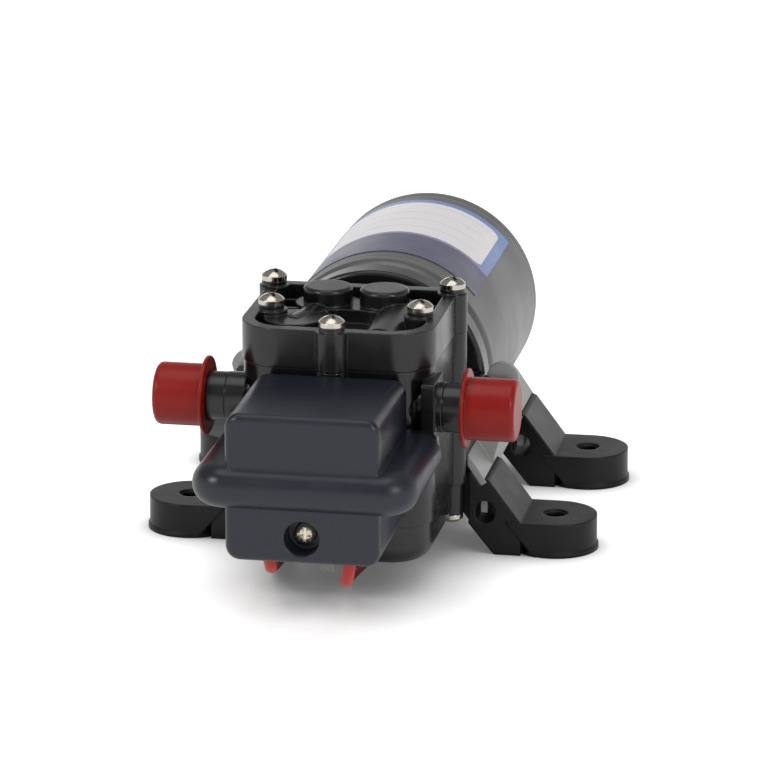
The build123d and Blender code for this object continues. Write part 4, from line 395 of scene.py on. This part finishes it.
finishes = {
    "can_paint": dict(colour=(0.125, 0.125, 0.127), tint=(0.155, 0.155, 0.158), roughness=0.34, metallic=0.6,
                      specular=0.5, grainScale=1900.0, grainDepth=0.000004, waveDepth=0.00001, waveScale=60.0,
                      edgeRadius=0.0005, edgeAmount=0.3, edgeColour=(0.34, 0.34, 0.35), dustAndTopLight=0.01,
                      lineStretch=(0.03, 1.0, 0.03), lineScale=1500.0, lineDepth=0.000003, lineRough=0.1),
    "black_plastic": dict(colour=(0.0045, 0.0045, 0.005), tint=(0.0075, 0.0075, 0.0085), roughness=0.25,
                          grainScale=2600.0, grainDepth=0.000004, waveDepth=0.00007, waveScale=100.0,
                          edgeRadius=0.00045, edgeColour=(0.045, 0.045, 0.05), edgeAmount=0.6, dustAndTopLight=0.008,
                          specular=0.5),
    "hood_plastic": dict(colour=(0.005, 0.0075, 0.015), tint=(0.0075, 0.0105, 0.02), roughness=0.35,
                         grainScale=2300.0, grainDepth=0.000016, waveDepth=0.00006, waveScale=70.0,
                         edgeRadius=0.0008, edgeColour=(0.035, 0.04, 0.052), edgeAmount=0.4, dustAndTopLight=0.006,
                         specular=0.5),
    # The feet's dust amount is mostly painted top light: it lightens their upward faces with grey.
    "foot_rubber": dict(colour=(0.003, 0.003, 0.0032), tint=(0.005, 0.005, 0.0055), roughness=0.38,
                        grainScale=1500.0, grainDepth=0.00002, waveDepth=0.00006, waveScale=110.0,
                        edgeRadius=0.0007, edgeColour=(0.03, 0.03, 0.03), edgeAmount=0.4, dustAndTopLight=0.035,
                        specular=0.3),
    "black_rubber": dict(colour=(0.012, 0.012, 0.012), tint=(0.018, 0.018, 0.018), roughness=0.6,
                         grainScale=1800.0, grainDepth=0.000012, edgeRadius=0.0003, specular=0.3),
    "red_plastic": dict(colour=(0.215, 0.003, 0.001), tint=(0.265, 0.006, 0.002), roughness=0.33,
                        grainScale=1500.0, grainDepth=0.000006, waveDepth=0.00005, waveScale=120.0,
                        edgeRadius=0.0004, edgeColour=(0.42, 0.03, 0.018), edgeAmount=0.5, dustAndTopLight=0.005,
                        specular=0.28, glow=0.06),
    "red_insulation": dict(colour=(0.46, 0.024, 0.017), tint=(0.54, 0.036, 0.027), roughness=0.38,
                           grainScale=2400.0, grainDepth=0.000004, waveDepth=0.00003, waveScale=260.0,
                           edgeRadius=0.0002, dustAndTopLight=0.01, specular=0.4, glow=0.06),
    "bracket_paint": dict(colour=(0.3, 0.3, 0.296), tint=(0.36, 0.36, 0.355), roughness=0.36, metallic=0.35,
                          grainScale=1700.0, grainDepth=0.000006, waveDepth=0.00002, edgeRadius=0.0004,
                          edgeColour=(0.34, 0.34, 0.34), edgeAmount=0.4, dustAndTopLight=0.02, specular=0.45,
                          lineStretch=(1.0, 0.04, 1.0), lineScale=1600.0, lineDepth=0.000003, lineRough=0.08),
    "screw_steel": dict(colour=(0.5, 0.46, 0.41), tint=(0.6, 0.56, 0.5), roughness=0.15, metallic=1.0,
                        grainScale=3200.0, grainDepth=0.000003, waveDepth=0.00003, waveScale=420.0,
                        edgeRadius=0.00018, edgeColour=(0.85, 0.82, 0.76), edgeAmount=0.6, dustAndTopLight=0.02),
    "zinc_steel": dict(colour=(0.5, 0.5, 0.49), tint=(0.6, 0.6, 0.58), roughness=0.3, metallic=1.0,
                       grainScale=2200.0, grainDepth=0.000004, edgeRadius=0.0003,
                       edgeColour=(0.8, 0.8, 0.78), edgeAmount=0.5, dustAndTopLight=0.03,
                       lineStretch=(0.05, 1.0, 1.0), lineDepth=0.000002, lineRough=0.12),
    "ground_steel": dict(colour=(0.58, 0.58, 0.6), tint=(0.66, 0.66, 0.68), roughness=0.14, metallic=1.0,
                         edgeRadius=0.0002, edgeColour=(0.85, 0.85, 0.87), edgeAmount=0.5, dustAndTopLight=0.0,
                         lineStretch=(1.0, 0.05, 1.0), lineDepth=0.000002, lineRough=0.1),
    "spring_steel": dict(colour=(0.42, 0.42, 0.43), tint=(0.52, 0.52, 0.53), roughness=0.24, metallic=1.0,
                         edgeRadius=0.0001, dustAndTopLight=0.0, lineDepth=0.000002, lineRough=0.1),
    "core_steel": dict(colour=(0.3, 0.3, 0.31), tint=(0.38, 0.38, 0.39), roughness=0.38, metallic=1.0,
                       edgeRadius=0.0002, dustAndTopLight=0.0),
    # The blades' dark colour is painted shade from the hood above them, and their near-white edge colour is a
    # painted glint.
    "tinned_blades": dict(colour=(0.13, 0.125, 0.115), tint=(0.2, 0.19, 0.18), roughness=0.3, metallic=1.0,
                          edgeRadius=0.00012, edgeAmount=0.5, edgeColour=(0.9, 0.9, 0.88), dustAndTopLight=0.0,
                          lineStretch=(1.0, 1.0, 0.06), lineDepth=0.000002, lineRough=0.12),
    "brass_part": dict(colour=(0.66, 0.6, 0.5), tint=(0.76, 0.7, 0.6), roughness=0.16, metallic=1.0,
                       edgeRadius=0.00018, edgeColour=(0.8, 0.74, 0.6), edgeAmount=0.5, dustAndTopLight=0.0,
                       lineStretch=(1.0, 0.06, 1.0), lineDepth=0.000002, lineRough=0.1),
    "bronze": dict(colour=(0.34, 0.2, 0.09), tint=(0.44, 0.27, 0.13), roughness=0.5, metallic=0.9,
                   grainScale=3000.0, grainDepth=0.00002, speckle=0.5, speckleColour=(0.16, 0.09, 0.04),
                   edgeRadius=0.0002, dustAndTopLight=0.0),
    "copper_bars": dict(colour=(0.62, 0.3, 0.17), tint=(0.72, 0.38, 0.23), roughness=0.2, metallic=1.0,
                        edgeRadius=0.0002, dustAndTopLight=0.0, lineStretch=(1.0, 0.05, 1.0), lineDepth=0.000003,
                        lineRough=0.15),
    "copper_wire": dict(colour=(0.42, 0.13, 0.04), tint=(0.52, 0.18, 0.06), roughness=0.26, metallic=0.85,
                        edgeRadius=0.0004, dustAndTopLight=0.0, coat=0.4, lineStretch=(0.6, 1.0, 0.6), lineScale=900.0),
    "ferrite": dict(colour=(0.05, 0.05, 0.053), tint=(0.075, 0.075, 0.08), roughness=0.6, grainScale=2600.0,
                    grainDepth=0.00002, speckle=0.4, speckleColour=(0.12, 0.12, 0.125), edgeRadius=0.0003,
                    dustAndTopLight=0.0),
    "carbon": dict(colour=(0.03, 0.03, 0.032), tint=(0.05, 0.05, 0.055), roughness=0.5, metallic=0.3,
                   grainScale=3000.0, grainDepth=0.00001, speckle=0.3, speckleColour=(0.11, 0.1, 0.09),
                   edgeRadius=0.0002, dustAndTopLight=0.0),
    "brown_board": dict(colour=(0.16, 0.075, 0.03), tint=(0.22, 0.11, 0.045), roughness=0.55,
                        grainScale=1400.0, grainDepth=0.00001, speckle=0.3, edgeRadius=0.0002, dustAndTopLight=0.0,
                        lineStretch=(1.0, 1.0, 0.1), lineScale=1200.0, lineDepth=0.000004),
    "white_plastic": dict(colour=(0.62, 0.61, 0.57), tint=(0.69, 0.68, 0.64), roughness=0.38,
                          grainScale=2300.0, grainDepth=0.000005, edgeRadius=0.0003, dustAndTopLight=0.0, glow=0.1),
    "zinc_casting": dict(colour=(0.36, 0.36, 0.38), tint=(0.45, 0.45, 0.47), roughness=0.42, metallic=1.0,
                         grainScale=1500.0, grainDepth=0.00002, waveDepth=0.00006, waveScale=220.0,
                         edgeRadius=0.0004, dustAndTopLight=0.0),
    "label_film": dict(colour=(0.7, 0.7, 0.7), tint=(0.74, 0.74, 0.74), roughness=0.3, grainScale=1600.0,
                       grainDepth=0.000003, waveDepth=0.00003, waveScale=45.0, edgeRadius=0.0001,
                       edgeAmount=0.1, speckle=0.06, dustAndTopLight=0.03, specular=0.5),
}
reliefs = {"can_paint": canRelief,
           "core_steel": bandsAlongY(*bands["core"]), "copper_wire": bandsAlongY(*bands["wire"])}
paints = {"label_film": filmPaint}
materials = {}
for slotName, look in finishes.items():
    materials[slotName] = finish(slotName, look, reliefs.get(slotName), paints.get(slotName))
print("finishes made:", len(materials))

for piece in frame["record"]["subparts"]:
    nodeObject = nodes[piece["node"]]
    material = materials[piece["material_slot"]]
    if not nodeObject.data.materials:
        nodeObject.data.materials.append(material)
    for slot in nodeObject.material_slots:
        slot.material = material
for lead in (motorLead, supplyLead):
    lead.data.materials.append(materials["red_insulation"])

# Studio: white floor and horizon, a dimmer dome over them, two soft boxes in front and one above.
studio = {"floorSize": 8.0, "floorColour": (0.9, 0.9, 0.9), "floorGlow": 0.26, "cameraGlow": 0.34,
          "cloudScale": 3.0, "cloudShade": 0.99, "contact": 0.02, "contactShade": 0.2,
          "contactFrom": 0.25, "contactTo": 0.95, "contactSamples": 12, "surround": 0.5,
          "horizon": 0.16, "domeFrom": 0.34, "dome": 0.3, "aim": (0.0, -0.03, 0.03),
          "boxes": [("leftBox", (-0.75, -0.85, 0.75), 0.34, 4.2), ("rightBox", (0.85, -0.8, 0.7), 0.34, 4.2),
                    ("topBox", (-0.05, -0.12, 1.25), 0.9, 3.6)]}


def seenFactor(tree, path):
    seen = maths(tree, "MAXIMUM", path.outputs["Is Camera Ray"], path.outputs["Is Glossy Ray"])
    return maths(tree, "MAXIMUM", seen, path.outputs["Is Transmission Ray"])


world = bpy.data.worlds.new("studioWorld")
scene.world = world
world.use_nodes = True
tree = world.node_tree
background = tree.nodes["Background"]
background.inputs["Color"].default_value = (1.0, 1.0, 1.0, 1.0)
split = tree.nodes.new("ShaderNodeSeparateXYZ")
tree.links.new(tree.nodes.new("ShaderNodeTexCoord").outputs["Generated"], split.inputs[0])
path = tree.nodes.new("ShaderNodeLightPath")
shown = ranged(tree, split.outputs["Z"], studio["horizon"], studio["domeFrom"], 1.0, studio["dome"])
shown = maths(tree, "MAXIMUM", shown, path.outputs["Is Camera Ray"])
strength = ranged(tree, seenFactor(tree, path), 0.0, 1.0, studio["surround"], shown)
tree.links.new(strength, background.inputs["Strength"])

floorMesh = bpy.data.meshes.new("studioFloor")
half = studio["floorSize"] / 2
shape = bmesh.new()
shape.faces.new([shape.verts.new((x * half, y * half, 0.0)) for x, y in ((-1, -1), (1, -1), (1, 1), (-1, 1))])
shape.to_mesh(floorMesh)
shape.free()
floorObject = bpy.data.objects.new("studioFloor", floorMesh)
scene.collection.objects.link(floorObject)
floorMaterial, tree, shader = newMaterial("studioFloor")
shader.inputs["Roughness"].default_value = 1.0
shader.inputs["Specular IOR Level"].default_value = 0.0
plain = noise(tree, objectPlace(tree), studio["cloudScale"], 2.0, 0.5)
shaded = [value * studio["cloudShade"] for value in studio["floorColour"]]
tone = mixed(tree, plain, colourOf(studio["floorColour"]), colourOf(shaded))
# Painted contact shadow: an ambient occlusion node darkens the floor's colour and its glow close to the pump.
paintedShadowOcclusion = tree.nodes.new("ShaderNodeAmbientOcclusion")
paintedShadowOcclusion.samples = studio["contactSamples"]
paintedShadowOcclusion.inputs["Distance"].default_value = studio["contact"]
contact = ranged(tree, paintedShadowOcclusion.outputs["AO"], studio["contactFrom"], studio["contactTo"],
                 studio["contactShade"], 1.0)
tree.links.new(mixed(tree, contact, (0.0, 0.0, 0.0, 1.0), tone), shader.inputs["Base Color"])
shader.inputs["Emission Color"].default_value = (1.0, 1.0, 1.0, 1.0)
path = tree.nodes.new("ShaderNodeLightPath")
glow = maths(tree, "MULTIPLY", seenFactor(tree, path), studio["floorGlow"])
glow = maths(tree, "MULTIPLY_ADD", path.outputs["Is Camera Ray"], studio["cameraGlow"], glow)
tree.links.new(maths(tree, "MULTIPLY", glow, contact), shader.inputs["Emission Strength"])
floorMesh.materials.append(floorMaterial)

for name, place, size, power in studio["boxes"]:
    light = bpy.data.lights.new(name, "AREA")
    light.shape = "SQUARE"
    light.size = size
    light.energy = power
    lamp = bpy.data.objects.new(name, light)
    lamp.location = place
    lamp.rotation_euler = (Vector(studio["aim"]) - Vector(place)).to_track_quat("-Z", "Y").to_euler()
    scene.collection.objects.link(lamp)
print("studio lit")

bpy.context.view_layer.update()
